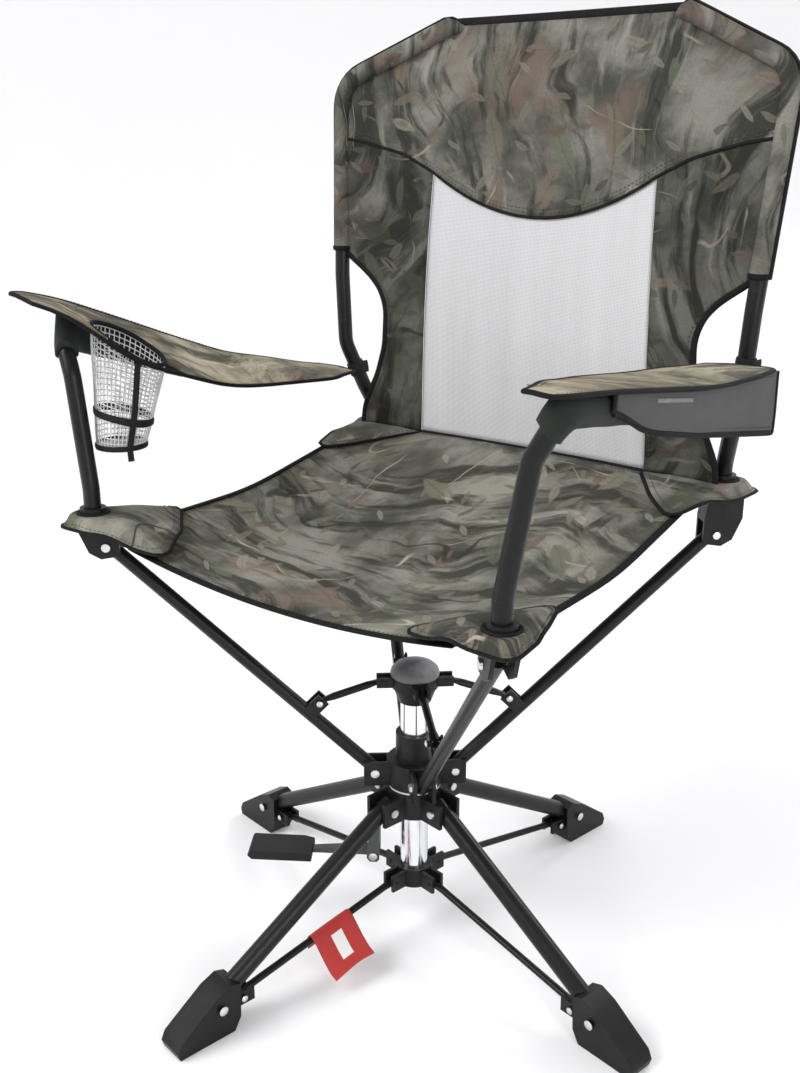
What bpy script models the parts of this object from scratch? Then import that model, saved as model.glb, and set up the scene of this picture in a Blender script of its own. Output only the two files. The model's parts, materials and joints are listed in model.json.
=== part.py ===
"""Folding swivel chair for a hunting blind, in metres, +Z up, facing -Y.

The origin is on the floor, on the swivel axis.  Four legs and four seat arms
hang on two stacked hubs that slide together on a centre column.
"""
import math

import bmesh
import bpy
from mathutils import Matrix, Vector

# ---------------------------------------------------------------- driving sizes
GAP = 0.0003                    # clearance between pieces that touch
BASE_TURN = 35.1                # degrees that the base stands turned from the seat
CORNERS = ("front_left", "front_right", "back_right", "back_left")

COLUMN_RADIUS = 0.0160
COLUMN_BOTTOM = 0.0560
COLUMN_TOP = 0.3030
HUB_SPLIT = 0.1845              # height where the turning hub meets the fixed one
WASHER_HALF = 0.0012

FORK_HALF = 0.0124              # half the width of a hub fork, across the tube
SLOT_HALF = 0.0084              # half the width of the slot between its ears
PIN_RADIUS = 0.0030
SMALL_PIN = 0.0020              # the pins set in the collar and the cap ring
LEG_FORK_HALF = 0.0155
LEG_SLOT_HALF = 0.0108
PIVOT_RADIUS = 0.0450           # distance of the hub pivots from the column's axis

ARM_PIVOT_HEIGHT = 0.2030
ARM_LENGTH = 0.3900
ARM_TILT = 44.2                 # degrees above level
ARM_RADIUS = 0.0075
STRUT_ALONG_ARM = 0.1026        # where the strut meets the arm, and how far above it
STRUT_ABOVE_ARM = 0.0190
STRUT_RADIUS = 0.0042
CAP_PIVOT_RADIUS = 0.0360
CAP_PIVOT_HEIGHT = 0.3120

LEG_PIVOT_HEIGHT = 0.1680
LEG_TIP = (0.3000, 0.0220)      # distance out and height of the leg tube's tip
LEG_RADIUS = 0.0100
SHOE_HALF_WIDTH = 0.0160
ROD_RADIUS = 0.0040
COLLAR_PIVOT = (0.0330, 0.0680)
FOOT_PIVOT = (0.2500, 0.0290)
ROD_SHORT = 0.0120              # the open pivots: how far the bars end before their pins
STRUT_SHORT = 0.0040

POST_RADIUS = 0.0090
FRONT_POST = (0.2560, -0.2200, 0.5000)
BACK_POST = (0.2410, 0.2280, 0.5240)
SOCKET_RADIUS = 0.0135

CLOTH = 0.0030                  # thickness of the seat and back slings
ARMREST_THICKNESS = 0.0050
CUP_CENTRE = (-0.2510, -0.1500)
CUP_RADIUS = 0.0330
PEDAL_AZIMUTH = 180.0 + BASE_TURN
PEDAL_PIVOT = (0.0470, 0.0930)


# ---------------------------------------------------------------- scene helpers
def clear_scene():
    for old in list(bpy.data.objects):
        bpy.data.objects.remove(old, do_unlink=True)


def material(name, color, roughness, metallic=0.0):
    finish = bpy.data.materials.new(name)
    finish.use_nodes = True
    shader = finish.node_tree.nodes["Principled BSDF"]
    shader.inputs["Base Color"].default_value = (*color, 1.0)
    shader.inputs["Roughness"].default_value = roughness
    shader.inputs["Metallic"].default_value = metallic
    return finish


def place(name, shape, finish, matrix=None):
    """Link a bmesh into the scene as one object, with its normals pointing out."""
    if matrix is not None:
        bmesh.ops.transform(shape, matrix=matrix, verts=shape.verts)
    bmesh.ops.recalc_face_normals(shape, faces=shape.faces)
    mesh = bpy.data.meshes.new(name)
    shape.to_mesh(mesh)
    shape.free()
    mesh.shade_smooth()
    mesh.set_sharp_from_angle(angle=math.radians(35))
    mesh.materials.append(finish)
    piece = bpy.data.objects.new(name, mesh)
    bpy.context.collection.objects.link(piece)
    return piece


def boolean(piece, operation, tool_shape, matrix=None):
    """Cut a shape out of a piece, or join it on, with a hidden tool object."""
    tool = place(f"tool_{len(bpy.data.objects)}", tool_shape, piece.data.materials[0], matrix)
    tool.hide_render = True
    tool.display_type = "WIRE"
    step = piece.modifiers.new(operation.lower(), "BOOLEAN")
    step.operation = operation
    step.solver = "EXACT"
    step.object = tool


def pivot_on(piece, point):
    """Put a piece's origin on its joint's axis without moving its shape."""
    piece.data.transform(Matrix.Translation(-Vector(point)))
    piece.location = point


# ---------------------------------------------------------------- shape helpers
def radial(azimuth, distance, height):
    """A point at a distance from the column's axis, on a compass line."""
    angle = math.radians(azimuth)
    return Vector((math.cos(angle) * distance, math.sin(angle) * distance, height))


def radial_frame(azimuth, distance=0.0, height=0.0):
    """A frame with X outwards, Y across and Z up."""
    turn = Matrix.Rotation(math.radians(azimuth), 4, "Z")
    return Matrix.Translation(radial(azimuth, distance, height)) @ turn


def add_box(shape, low, high, matrix=None):
    size = Vector(high) - Vector(low)
    centre = (Vector(high) + Vector(low)) / 2
    local = Matrix.Translation(centre) @ Matrix.Diagonal((*size, 1.0))
    bmesh.ops.create_cube(shape, size=1.0, matrix=(matrix or Matrix()) @ local)


def add_rod(shape, start, end, radius, sides=16):
    start, end = Vector(start), Vector(end)
    run = end - start
    turn = run.to_track_quat("Z", "Y").to_matrix().to_4x4()
    matrix = Matrix.Translation((start + end) / 2) @ turn
    bmesh.ops.create_cone(
        shape, cap_ends=True, segments=sides, radius1=radius, radius2=radius,
        depth=run.length, matrix=matrix,
    )


def add_turned(shape, profile, matrix=None, sides=20):
    """Spin a profile of (radius, height) points about Z; ends lie on the axis."""
    points = [shape.verts.new((radius, 0.0, height)) for radius, height in profile]
    edges = [shape.edges.new(pair) for pair in zip(points, points[1:])]
    made = bmesh.ops.spin(
        shape, geom=points + edges, cent=(0, 0, 0), axis=(0, 0, 1),
        angle=math.tau, steps=sides, use_merge=True,
    )
    del made
    bmesh.ops.remove_doubles(shape, verts=shape.verts, dist=0.00001)
    if matrix is not None:
        bmesh.ops.transform(shape, matrix=matrix, verts=shape.verts)


def add_profile(shape, outline, low_y, high_y, matrix=None):
    """Extrude an outline of (x, z) points across Y."""
    ring = [shape.verts.new((x, low_y, z)) for x, z in outline]
    face = shape.faces.new(ring)
    made = bmesh.ops.extrude_face_region(shape, geom=[face])
    moved = [item for item in made["geom"] if isinstance(item, bmesh.types.BMVert)]
    bmesh.ops.translate(shape, vec=(0, high_y - low_y, 0), verts=moved)
    if matrix is not None:
        bmesh.ops.transform(shape, matrix=matrix, verts=ring + moved)


def bolt_profile(half_grip):
    """A shank with a round head at one end and a nut at the other."""
    head = half_grip + GAP
    return [
        (0.0, -head - 0.0028), (0.0050, -head - 0.0022), (0.0050, -head),
        (PIN_RADIUS, -head), (PIN_RADIUS, head), (0.0052, head),
        (0.0044, head + 0.0030), (0.0, head + 0.0034),
    ]


def build_bolt(name, centre, azimuth, half_grip, finish):
    """A bolt lying across a fork, at right angles to its azimuth."""
    shape = bmesh.new()
    across = Matrix.Rotation(math.radians(azimuth), 4, "Z") @ Matrix.Rotation(math.pi / 2, 4, "X")
    add_turned(shape, bolt_profile(half_grip), Matrix.Translation(centre) @ across, sides=10)
    bolt = place(name, shape, finish)
    pivot_on(bolt, centre)


def add_pins(shape, pivots, half_length, radius):
    """Plain pins lying across their forks; each pivot is an azimuth and a point."""
    for azimuth, centre in pivots:
        across = radial(azimuth + 90.0, half_length, 0.0)
        add_rod(shape, Vector(centre) - across, Vector(centre) + across, radius, sides=8)


def add_cross_hole(shape, centre, azimuth, half_length, radius=PIN_RADIUS + GAP):
    across = radial(azimuth + 90.0, half_length, 0.0)
    add_rod(shape, Vector(centre) - across, Vector(centre) + across, radius, sides=12)


def smooth_path(corners, bend, steps=4):
    """A polyline whose corners are rounded with a bend radius."""
    points = [Vector(corners[0])]
    for before, corner, after in zip(corners, corners[1:], corners[2:]):
        before, corner, after = Vector(before), Vector(corner), Vector(after)
        inwards = (before - corner).normalized()
        outwards = (after - corner).normalized()
        half = inwards.angle(outwards) / 2
        reach = bend / math.tan(half)
        reach = min(reach, 0.45 * (before - corner).length, 0.45 * (after - corner).length)
        radius = reach * math.tan(half)
        centre = corner + (inwards + outwards).normalized() * (radius / math.sin(half))
        first = (corner + inwards * reach - centre).normalized()
        last = (corner + outwards * reach - centre).normalized()
        for step in range(steps + 1):
            points.append(centre + first.slerp(last, step / steps) * radius)
    points.append(Vector(corners[-1]))
    return points


def bent_tube(name, corners, radius, finish, bend, sides=14):
    """Extrude a circle along a rounded polyline, turning it with each new stretch."""
    points = smooth_path(corners, bend)
    facing = (points[1] - points[0]).normalized()
    turn = facing.to_track_quat("Z", "Y").to_matrix().to_4x4()
    shape = bmesh.new()
    start = Matrix.Translation(points[0]) @ turn
    bmesh.ops.create_circle(shape, cap_ends=True, segments=sides, radius=radius, matrix=start)
    face = shape.faces[:][0]
    for before, here, after in zip(points, points[1:], points[2:] + [None]):
        arriving = (here - before).normalized()
        leaving = (after - here).normalized() if after else arriving
        mitre = (arriving + leaving).normalized()
        grown = bmesh.ops.extrude_face_region(shape, geom=[face])["geom"]
        ring = [item for item in grown if isinstance(item, bmesh.types.BMVert)]
        if before is not points[0]:
            bmesh.ops.delete(shape, geom=[face], context="FACES_ONLY")
        face = [item for item in grown if isinstance(item, bmesh.types.BMFace)][0]
        rotation = facing.rotation_difference(mitre).to_matrix().to_4x4()
        step = Matrix.Translation(here) @ rotation @ Matrix.Translation(-before)
        bmesh.ops.transform(shape, matrix=step, verts=ring)
        facing = mitre
    return place(name, shape, finish)


def cloth_sheet(name, finish, columns, rows, surface, thickness, keep=None):
    """A grid laid on a surface function and given a thickness on both sides."""
    shape = bmesh.new()
    bmesh.ops.create_grid(shape, x_segments=columns - 1, y_segments=rows - 1, size=0.5)
    for vertex in shape.verts:
        column = round((vertex.co.x + 0.5) * (columns - 1))
        row = round((vertex.co.y + 0.5) * (rows - 1))
        vertex.co = surface(column, row)
    if keep:
        doomed = [face for face in shape.faces if not keep(face.calc_center_median())]
        bmesh.ops.delete(shape, geom=doomed, context="FACES")
    piece = place(name, shape, finish)
    wall = piece.modifiers.new("thickness", "SOLIDIFY")
    wall.thickness = thickness
    wall.offset = 0.0
    return piece


def interpolate(table, value):
    """Read a value from a short list of (place, value) points by straight lines."""
    if value <= table[0][0]:
        return table[0][1]
    for (low, first), (high, last) in zip(table, table[1:]):
        if value <= high:
            return first + (last - first) * (value - low) / (high - low)
    return table[-1][1]


# ---------------------------------------------------------------- places worked out
def corner_azimuth(corner):
    post = FRONT_POST if corner.startswith("front") else BACK_POST
    side = 1.0 if corner.endswith("right") else -1.0
    return math.degrees(math.atan2(post[1], side * post[0]))


def corner_post(corner):
    """The foot of a corner's post.  Left and right are as seen from the front."""
    post = FRONT_POST if corner.startswith("front") else BACK_POST
    side = 1.0 if corner.endswith("right") else -1.0
    return Vector((side * post[0], post[1], post[2]))


def leg_azimuth(index):
    return 225.0 + 90.0 * index + BASE_TURN


ARM_AZIMUTHS = [corner_azimuth(corner) for corner in CORNERS]
LEG_AZIMUTHS = [leg_azimuth(index) for index in range(4)]
TILT = math.radians(ARM_TILT)
ARM_END = (
    PIVOT_RADIUS + ARM_LENGTH * math.cos(TILT),
    ARM_PIVOT_HEIGHT + ARM_LENGTH * math.sin(TILT),
)
STRUT_END = (
    PIVOT_RADIUS + STRUT_ALONG_ARM * math.cos(TILT) - STRUT_ABOVE_ARM * math.sin(TILT),
    ARM_PIVOT_HEIGHT + STRUT_ALONG_ARM * math.sin(TILT) + STRUT_ABOVE_ARM * math.cos(TILT),
)


# ---------------------------------------------------------------- hubs and rings
def forked_ring(name, finish, core, low, high, azimuths, pivot, reach, fork, slot, pinned=False):
    """A ring with forks around it, each drilled for a bolt or with a pin set in it."""
    shape = bmesh.new()
    add_rod(shape, (0, 0, low), (0, 0, high), core, sides=24)
    ring = place(name, shape, finish)
    lugs = bmesh.new()
    slots = bmesh.new()
    holes = bmesh.new()
    for azimuth in azimuths:
        turn = radial_frame(azimuth)
        add_box(lugs, (core * 0.84, -fork, low + 0.001), (reach, fork, high - 0.001), turn)
        add_box(slots, (core + 0.0005, -slot, low - 0.01), (reach + 0.01, slot, high + 0.01), turn)
        add_cross_hole(holes, radial(azimuth, *pivot), azimuth, fork + 0.002)
    boolean(ring, "UNION", lugs)
    boolean(ring, "DIFFERENCE", slots)
    if not pinned:
        boolean(ring, "DIFFERENCE", holes)
        return ring
    holes.free()
    pins = bmesh.new()
    add_pins(pins, [(azimuth, radial(azimuth, *pivot)) for azimuth in azimuths], fork + 0.001, SMALL_PIN)
    boolean(ring, "UNION", pins)
    return ring


def bore(piece, low, high, radius):
    hole = bmesh.new()
    add_rod(hole, (0, 0, low), (0, 0, high), radius, sides=20)
    boolean(piece, "DIFFERENCE", hole)


def build_hubs(black, steel, plastic):
    lower = forked_ring(
        "lower_hub", black, 0.0310, 0.1520, HUB_SPLIT - WASHER_HALF - GAP,
        LEG_AZIMUTHS, (PIVOT_RADIUS, LEG_PIVOT_HEIGHT), 0.0580, LEG_FORK_HALF, LEG_SLOT_HALF,
    )
    bore(lower, 0.14, 0.20, COLUMN_RADIUS + GAP)
    upper = forked_ring(
        "upper_hub", black, 0.0310, HUB_SPLIT + WASHER_HALF + GAP, 0.2170,
        ARM_AZIMUTHS, (PIVOT_RADIUS, ARM_PIVOT_HEIGHT), 0.0575, FORK_HALF, SLOT_HALF,
    )
    sleeve = bmesh.new()
    add_rod(sleeve, (0, 0, 0.2100), (0, 0, 0.2490), 0.0215, sides=24)
    boolean(upper, "UNION", sleeve)
    bore(upper, 0.17, 0.26, COLUMN_RADIUS + GAP)

    washer = bmesh.new()
    add_rod(washer, (0, 0, HUB_SPLIT - WASHER_HALF), (0, 0, HUB_SPLIT + WASHER_HALF), 0.0300, 28)
    ring = place("thrust_washer", washer, plastic)
    bore(ring, 0.17, 0.20, COLUMN_RADIUS + GAP)

    for index, corner in enumerate(CORNERS):
        leg, arm = LEG_AZIMUTHS[index], ARM_AZIMUTHS[index]
        leg_pivot = radial(leg, PIVOT_RADIUS, LEG_PIVOT_HEIGHT)
        arm_pivot = radial(arm, PIVOT_RADIUS, ARM_PIVOT_HEIGHT)
        build_bolt(f"leg_bolt_{corner}", leg_pivot, leg, LEG_FORK_HALF, steel)
        build_bolt(f"arm_bolt_{corner}", arm_pivot, arm, FORK_HALF, steel)


def build_column(black, chrome):
    tube = bmesh.new()
    add_rod(tube, (0, 0, COLUMN_BOTTOM), (0, 0, COLUMN_TOP), COLUMN_RADIUS, sides=24)
    place("column_tube", tube, chrome)

    collar = forked_ring(
        "column_collar", black, 0.0215, 0.0580, 0.0800,
        LEG_AZIMUTHS, COLLAR_PIVOT, 0.0400, 0.0085, 0.0047, pinned=True,
    )
    bore(collar, 0.05, 0.09, COLUMN_RADIUS + GAP)


def build_cap(black, plastic):
    ring = forked_ring(
        "cap_ring", black, 0.0262, 0.3050, 0.3180,
        ARM_AZIMUTHS, (CAP_PIVOT_RADIUS, CAP_PIVOT_HEIGHT), 0.0425, 0.0085, 0.0049, pinned=True,
    )
    spool = bmesh.new()
    add_turned(spool, [(0.0, 0.2880), (0.0185, 0.2880), (0.0250, 0.3060), (0.0, 0.3060)], sides=24)
    boolean(ring, "UNION", spool)
    hollow = bmesh.new()
    add_rod(hollow, (0, 0, 0.2700), (0, 0, COLUMN_TOP + 0.0010), COLUMN_RADIUS + GAP, sides=24)
    boolean(ring, "DIFFERENCE", hollow)
    dome = bmesh.new()
    crown = [(0.0, 0.3180 + GAP), (0.0270, 0.3180 + GAP), (0.0275, 0.3215)]
    crown += [
        (0.0275 * math.cos(angle), 0.3215 + 0.0145 * math.sin(angle))
        for angle in (0.35, 0.7, 1.05, 1.3)
    ]
    crown.append((0.0, 0.3362))
    add_turned(dome, crown, sides=24)
    place("cap_dome", dome, plastic)


# ---------------------------------------------------------------- base
SHOE_OUTLINE = (
    (0.2580, 0.0140), (0.2660, 0.0), (0.3320, 0.0), (0.3345, 0.0080),
    (0.3300, 0.0180), (0.2850, 0.0500), (0.2680, 0.0570), (0.2560, 0.0530),
)


def add_heads(shape, centre, azimuth, inner, outer, radius=0.0036):
    """Two bolt heads, one on each outer face of a fork."""
    for side in (-1, 1):
        across = radial(azimuth + 90.0, side, 0.0)
        add_rod(shape, centre + across * inner, centre + across * outer, radius, sides=8)


def build_leg(index, corner, frame_steel, black):
    azimuth = LEG_AZIMUTHS[index]
    pivot = radial(azimuth, PIVOT_RADIUS, LEG_PIVOT_HEIGHT)
    tip = radial(azimuth, *LEG_TIP)
    along = (tip - pivot).normalized()

    tube = bmesh.new()
    add_rod(tube, pivot - along * 0.0090, tip, LEG_RADIUS, sides=20)
    leg = place(f"leg_{corner}", tube, frame_steel)
    hole = bmesh.new()
    add_cross_hole(hole, pivot, azimuth, LEG_RADIUS + 0.004)
    boolean(leg, "DIFFERENCE", hole)

    body = bmesh.new()
    turn = radial_frame(azimuth)
    add_profile(body, SHOE_OUTLINE, -SHOE_HALF_WIDTH, SHOE_HALF_WIDTH, turn)
    shoe = place(f"shoe_{corner}", body, black)
    ears = bmesh.new()
    for side in (-1, 1):
        low, high = sorted((side * 0.0056, side * 0.0098))
        add_box(ears, (0.2360, low, 0.0210), (0.2620, high, 0.0370), turn)
    boolean(shoe, "UNION", ears)
    socket = bmesh.new()
    add_rod(socket, pivot, tip + along * GAP, LEG_RADIUS + GAP, sides=20)
    boolean(shoe, "DIFFERENCE", socket)
    heads = bmesh.new()
    add_heads(heads, radial(azimuth, *FOOT_PIVOT), azimuth, 0.0080, 0.0122)
    add_heads(heads, radial(azimuth, 0.2800, 0.0336), azimuth, 0.0140, 0.0186)
    boolean(shoe, "UNION", heads)
    pivot_on(shoe, pivot)
    pivot_on(leg, pivot)


def build_lower_rod(index, corner, finish):
    azimuth = LEG_AZIMUTHS[index]
    inner = radial(azimuth, *COLLAR_PIVOT)
    outer = radial(azimuth, *FOOT_PIVOT)
    along = (outer - inner).normalized()
    shape = bmesh.new()
    add_rod(shape, inner - along * 0.0055, outer - along * ROD_SHORT, ROD_RADIUS, sides=12)
    rod = place(f"lower_rod_{corner}", shape, finish)
    hole = bmesh.new()
    add_cross_hole(hole, inner, azimuth, 0.0080, 0.0020 + GAP)
    boolean(rod, "DIFFERENCE", hole)
    pivot_on(rod, inner)


def build_pedal(frame_steel, steel, plastic):
    turn = radial_frame(PEDAL_AZIMUTH)
    out, height = PEDAL_PIVOT
    bracket = bmesh.new()
    outline = (
        (0.0195, 0.1517), (0.0195, 0.1480), (0.0388, 0.1478), (0.0400, 0.0880), (0.0430, 0.0850),
        (0.0510, 0.0850), (0.0545, 0.0900), (0.0545, 0.0980), (0.0460, 0.1470), (0.0440, 0.1517),
    )
    add_profile(bracket, outline, -0.0125, 0.0125, turn)
    plate = place("pedal_bracket", bracket, frame_steel)
    slot = bmesh.new()
    add_box(slot, (0.0300, -0.0092, 0.0750), (0.0600, 0.0092, 0.1080), turn)
    boolean(plate, "DIFFERENCE", slot)
    holes = bmesh.new()
    pivot = radial(PEDAL_AZIMUTH, out, height)
    add_cross_hole(holes, pivot, PEDAL_AZIMUTH, 0.0160)
    boolean(plate, "DIFFERENCE", holes)

    build_bolt("pedal_pin", pivot, PEDAL_AZIMUTH, 0.0125, steel)

    bar = bmesh.new()
    outline = ((out - 0.006, height - 0.005), (0.1180, height - 0.004), (0.1180, height + 0.001),
               (out + 0.006, height + 0.006), (out - 0.004, height + 0.006))
    add_profile(bar, outline, -0.0070, 0.0030, turn)
    lever = place("pedal_lever", bar, frame_steel)
    hole = bmesh.new()
    add_cross_hole(hole, pivot, PEDAL_AZIMUTH, 0.0120)
    boolean(lever, "DIFFERENCE", hole)
    pivot_on(lever, pivot)

    pad = bmesh.new()
    outline = ((0.1180 + GAP, height - 0.0060), (0.1880, height - 0.0050), (0.1930, height),
               (0.1900, height + 0.0060), (0.1300, height + 0.0050), (0.1180 + GAP, height + 0.0020))
    add_profile(pad, outline, -0.0200, 0.0200, turn)
    foot = place("pedal_pad", pad, plastic)
    pivot_on(foot, pivot)

    coil = bmesh.new()
    ring = [(0.0046, -0.0022), (0.0064, -0.0022), (0.0064, 0.0022), (0.0046, 0.0022), (0.0046, -0.0022)]
    across = Matrix.Rotation(math.radians(PEDAL_AZIMUTH), 4, "Z") @ Matrix.Rotation(math.pi / 2, 4, "X")
    offset = radial(PEDAL_AZIMUTH + 90.0, 0.0061, 0.0)
    add_turned(coil, ring, Matrix.Translation(pivot + offset) @ across, sides=12)
    place("pedal_spring", coil, steel)


# ---------------------------------------------------------------- seat frame
def build_arm(corner, azimuth, finish, steel):
    pivot = radial(azimuth, PIVOT_RADIUS, ARM_PIVOT_HEIGHT)
    end = radial(azimuth, *ARM_END)
    along = (end - pivot).normalized()
    shape = bmesh.new()
    add_rod(shape, pivot - along * 0.0070, end + along * 0.0070, ARM_RADIUS, sides=16)
    arm = place(f"arm_{corner}", shape, finish)
    lug = bmesh.new()
    frame = radial_frame(azimuth, PIVOT_RADIUS, ARM_PIVOT_HEIGHT) @ Matrix.Rotation(-TILT, 4, "Y")
    for side in (-1, 1):
        low, high = sorted((side * 0.0050, side * 0.0075))
        lug_low = (STRUT_ALONG_ARM - 0.0080, low, 0.0010)
        add_box(lug, lug_low, (STRUT_ALONG_ARM + 0.0080, high, STRUT_ABOVE_ARM + 0.0060), frame)
    boolean(arm, "UNION", lug)
    holes = bmesh.new()
    add_cross_hole(holes, pivot, azimuth, 0.0120)
    add_cross_hole(holes, end, azimuth, 0.0120)
    boolean(arm, "DIFFERENCE", holes)
    heads = bmesh.new()
    add_heads(heads, radial(azimuth, *STRUT_END), azimuth, 0.0062, 0.0096)
    boolean(arm, "UNION", heads)
    pivot_on(arm, pivot)
    build_bolt(f"corner_bolt_{corner}", end, azimuth, FORK_HALF, steel)


def build_strut(corner, azimuth, finish):
    inner = radial(azimuth, CAP_PIVOT_RADIUS, CAP_PIVOT_HEIGHT)
    outer = radial(azimuth, *STRUT_END)
    along = (outer - inner).normalized()
    shape = bmesh.new()
    add_rod(shape, inner - along * 0.0050, outer - along * STRUT_SHORT, STRUT_RADIUS, sides=12)
    strut = place(f"strut_{corner}", shape, finish)
    hole = bmesh.new()
    add_cross_hole(hole, inner, azimuth, 0.0080, 0.0020 + GAP)
    boolean(strut, "DIFFERENCE", hole)
    pivot_on(strut, inner)


def build_bracket(corner, azimuth, finish):
    """A forked corner block on the arm's end with a socket for the upright."""
    post = corner_post(corner)
    pivot = radial(azimuth, *ARM_END)
    frame = radial_frame(azimuth, *ARM_END)
    shape = bmesh.new()
    top = post.z - pivot.z + 0.0080
    outline = (
        (-0.0140, -0.0100), (0.0060, -0.0130), (0.0180, -0.0060), (0.0280, 0.0180),
        (0.0280, top), (-0.0080, top), (-0.0140, 0.0180),
    )
    add_profile(shape, outline, -FORK_HALF, FORK_HALF, frame)
    block = place(f"corner_bracket_{corner}", shape, finish)
    socket = bmesh.new()
    add_rod(socket, (post.x, post.y, pivot.z + 0.0190), (post.x, post.y, post.z + 0.0160), SOCKET_RADIUS, 20)
    boolean(block, "UNION", socket)
    cut = bmesh.new()
    add_box(cut, (-0.0300, -SLOT_HALF, -0.0300), (0.0400, SLOT_HALF, 0.0140), frame)
    boolean(block, "DIFFERENCE", cut)
    holes = bmesh.new()
    add_cross_hole(holes, pivot, azimuth, 0.0160)
    boolean(block, "DIFFERENCE", holes)
    well = bmesh.new()
    bottom = post.z - 0.0050 - GAP
    add_rod(well, (post.x, post.y, bottom), (post.x, post.y, post.z + 0.0300), POST_RADIUS + GAP, 16)
    boolean(block, "DIFFERENCE", well)


def build_front_post(corner, finish):
    """The upright of an armrest, with its top bent back under the armrest."""
    foot = corner_post(corner)
    side = 1.0 if foot.x > 0 else -1.0
    drop = 0.0240 if side > 0 else 0.0530
    corners = (
        (foot.x, foot.y, foot.z - 0.0050),
        (foot.x, foot.y, foot.z + 0.0350),
        (side * 0.2760, -0.2165, 0.6500),
        (side * 0.2960, -0.2100, 0.6880),
        (side * 0.2970, -0.0600, 0.6880 - drop),
    )
    bent_tube(f"front_post_{corner.split('_')[1]}", corners, POST_RADIUS, finish, 0.0350)


BACK_POST_LINE = (              # distance out, distance back, height
    (0.2500, 0.2150, 0.5800), (0.2650, 0.1980, 0.6350), (0.2700, 0.1990, 0.7200),
    (0.2826, 0.2183, 0.9450), (0.1500, 0.2570, 1.0050),
)


def build_back_post(corner, finish):
    foot = corner_post(corner)
    side = 1.0 if foot.x > 0 else -1.0
    corners = [(foot.x, foot.y, foot.z - 0.0050), (foot.x, foot.y, foot.z + 0.0250)]
    corners += [(side * out, back, height) for out, back, height in BACK_POST_LINE]
    bent_tube(f"back_post_{corner.split('_')[1]}", corners, POST_RADIUS, finish, 0.0400)


# ---------------------------------------------------------------- slings
def seat_height(x, y):
    """The sagging seat: high at the rear edge, lowest near the middle."""
    edge = interpolate(((-0.22, 0.4900), (0.0, 0.4960), (0.20, 0.5300)), y)
    across = 1.0 - (x / 0.26) ** 2
    return edge - across * interpolate(((-0.22, 0.0280), (-0.05, 0.0420), (0.20, 0.0020)), y)


def build_seat(camo):
    half_width = ((-0.215, 0.2050), (-0.170, 0.2430), (0.150, 0.2380), (0.197, 0.2020))
    spans = (("seat_front_sling", -0.2150, -GAP), ("seat_rear_sling", GAP, 0.1970))
    for name, start, end in spans:
        def surface(column, row, start=start, end=end):
            y = start + (end - start) * row / 5
            x = interpolate(half_width, y) * (column - 4) / 4
            return (x, y, seat_height(x, y))
        cloth_sheet(name, camo, 9, 6, surface, CLOTH)


MESH_HALF = ((0.5345, 0.1550), (0.8440, 0.1450))
BACK_HALF = (
    (0.5345, 0.2050), (0.6800, 0.2080), (0.7150, 0.2230), (0.7500, 0.2550),
    (0.9300, 0.2660), (0.9900, 0.1500),
)
BACK_DEPTH = (
    (0.5345, 0.2020), (0.6500, 0.1990), (0.7500, 0.2010), (0.8440, 0.2080),
    (0.9450, 0.2200), (1.0050, 0.2570),
)
BACK_BOTTOM = 0.5345
BACK_TOP = 0.9950


def head_seam(x):
    """The curved seam along the bottom of the head panel."""
    return 0.7970 + 0.0470 * min(abs(x) / 0.145, 1.4) ** 2


def back_point(x, height):
    sag = 0.0170 * (1.0 - min(abs(x) / 0.27, 1.0) ** 2)
    return (x, interpolate(BACK_DEPTH, height) + sag, height)


def back_surface(column, row, inset=0.0):
    """Rows 0 to 6 rise to the head seam and rows 6 to 9 go on to the top edge."""
    inner = (0.0, 0.0725, 0.1450)
    step = column - 3
    x = inner[min(abs(step), 2)]
    seam = head_seam(x) if abs(step) < 3 else 0.8800
    top = BACK_TOP if abs(step) < 3 else 0.9300
    if row <= 6:
        height = BACK_BOTTOM + (seam - inset - BACK_BOTTOM) * row / 6
    else:
        height = seam + (top - seam) * (row - 6) / 3
    if abs(step) == 3:
        x = interpolate(BACK_HALF, height)
    elif height < 0.8440 or row <= 6:
        x *= interpolate(MESH_HALF, height) / 0.1450
    x = max(x - inset, 0.0)
    return back_point(math.copysign(x, step), height)


def build_back(camo, mesh_cloth):
    def outside_panel(centre):
        return abs(centre.x) > 0.148 or centre.z > head_seam(centre.x) + 0.002
    cloth_sheet("back_sling", camo, 7, 10, back_surface, CLOTH, keep=outside_panel)

    def panel(column, row):
        return back_surface(column + 1, row, inset=0.0025)
    cloth_sheet("mesh_panel", mesh_cloth, 5, 7, panel, 0.0020)


# ---------------------------------------------------------------- armrests
LEFT_OUTER = (
    (-0.262, 0.7410), (-0.163, 0.7120), (-0.104, 0.6890), (-0.04, 0.6680),
    (0.032, 0.6420), (0.131, 0.6180), (0.185, 0.6030),
)
LEFT_INNER = (
    (-0.262, 0.7060), (-0.163, 0.6760), (-0.104, 0.6560), (-0.04, 0.6340),
    (0.032, 0.6160), (0.131, 0.6070), (0.185, 0.6000),
)
RIGHT_OUTER = ((-0.245, 0.7080), (-0.163, 0.7000), (0.0, 0.6820), (0.172, 0.6640))
RIGHT_INNER = ((-0.245, 0.7060), (-0.1, 0.6930), (0.025, 0.6820), (0.172, 0.6600))


def armrest_surface(side, outer, inner, start, end):
    def surface(column, row):
        y = start + (end - start) * row / 9
        blend = column / 4
        x = side * (0.3130 + (0.2150 - 0.3130) * blend)
        low = interpolate(inner, y)
        height = interpolate(outer, y) + (low - interpolate(outer, y)) * blend
        clearance = 0.0060 if y < -0.05 else 0.0
        return (x, y, height + clearance)
    return surface


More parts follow.
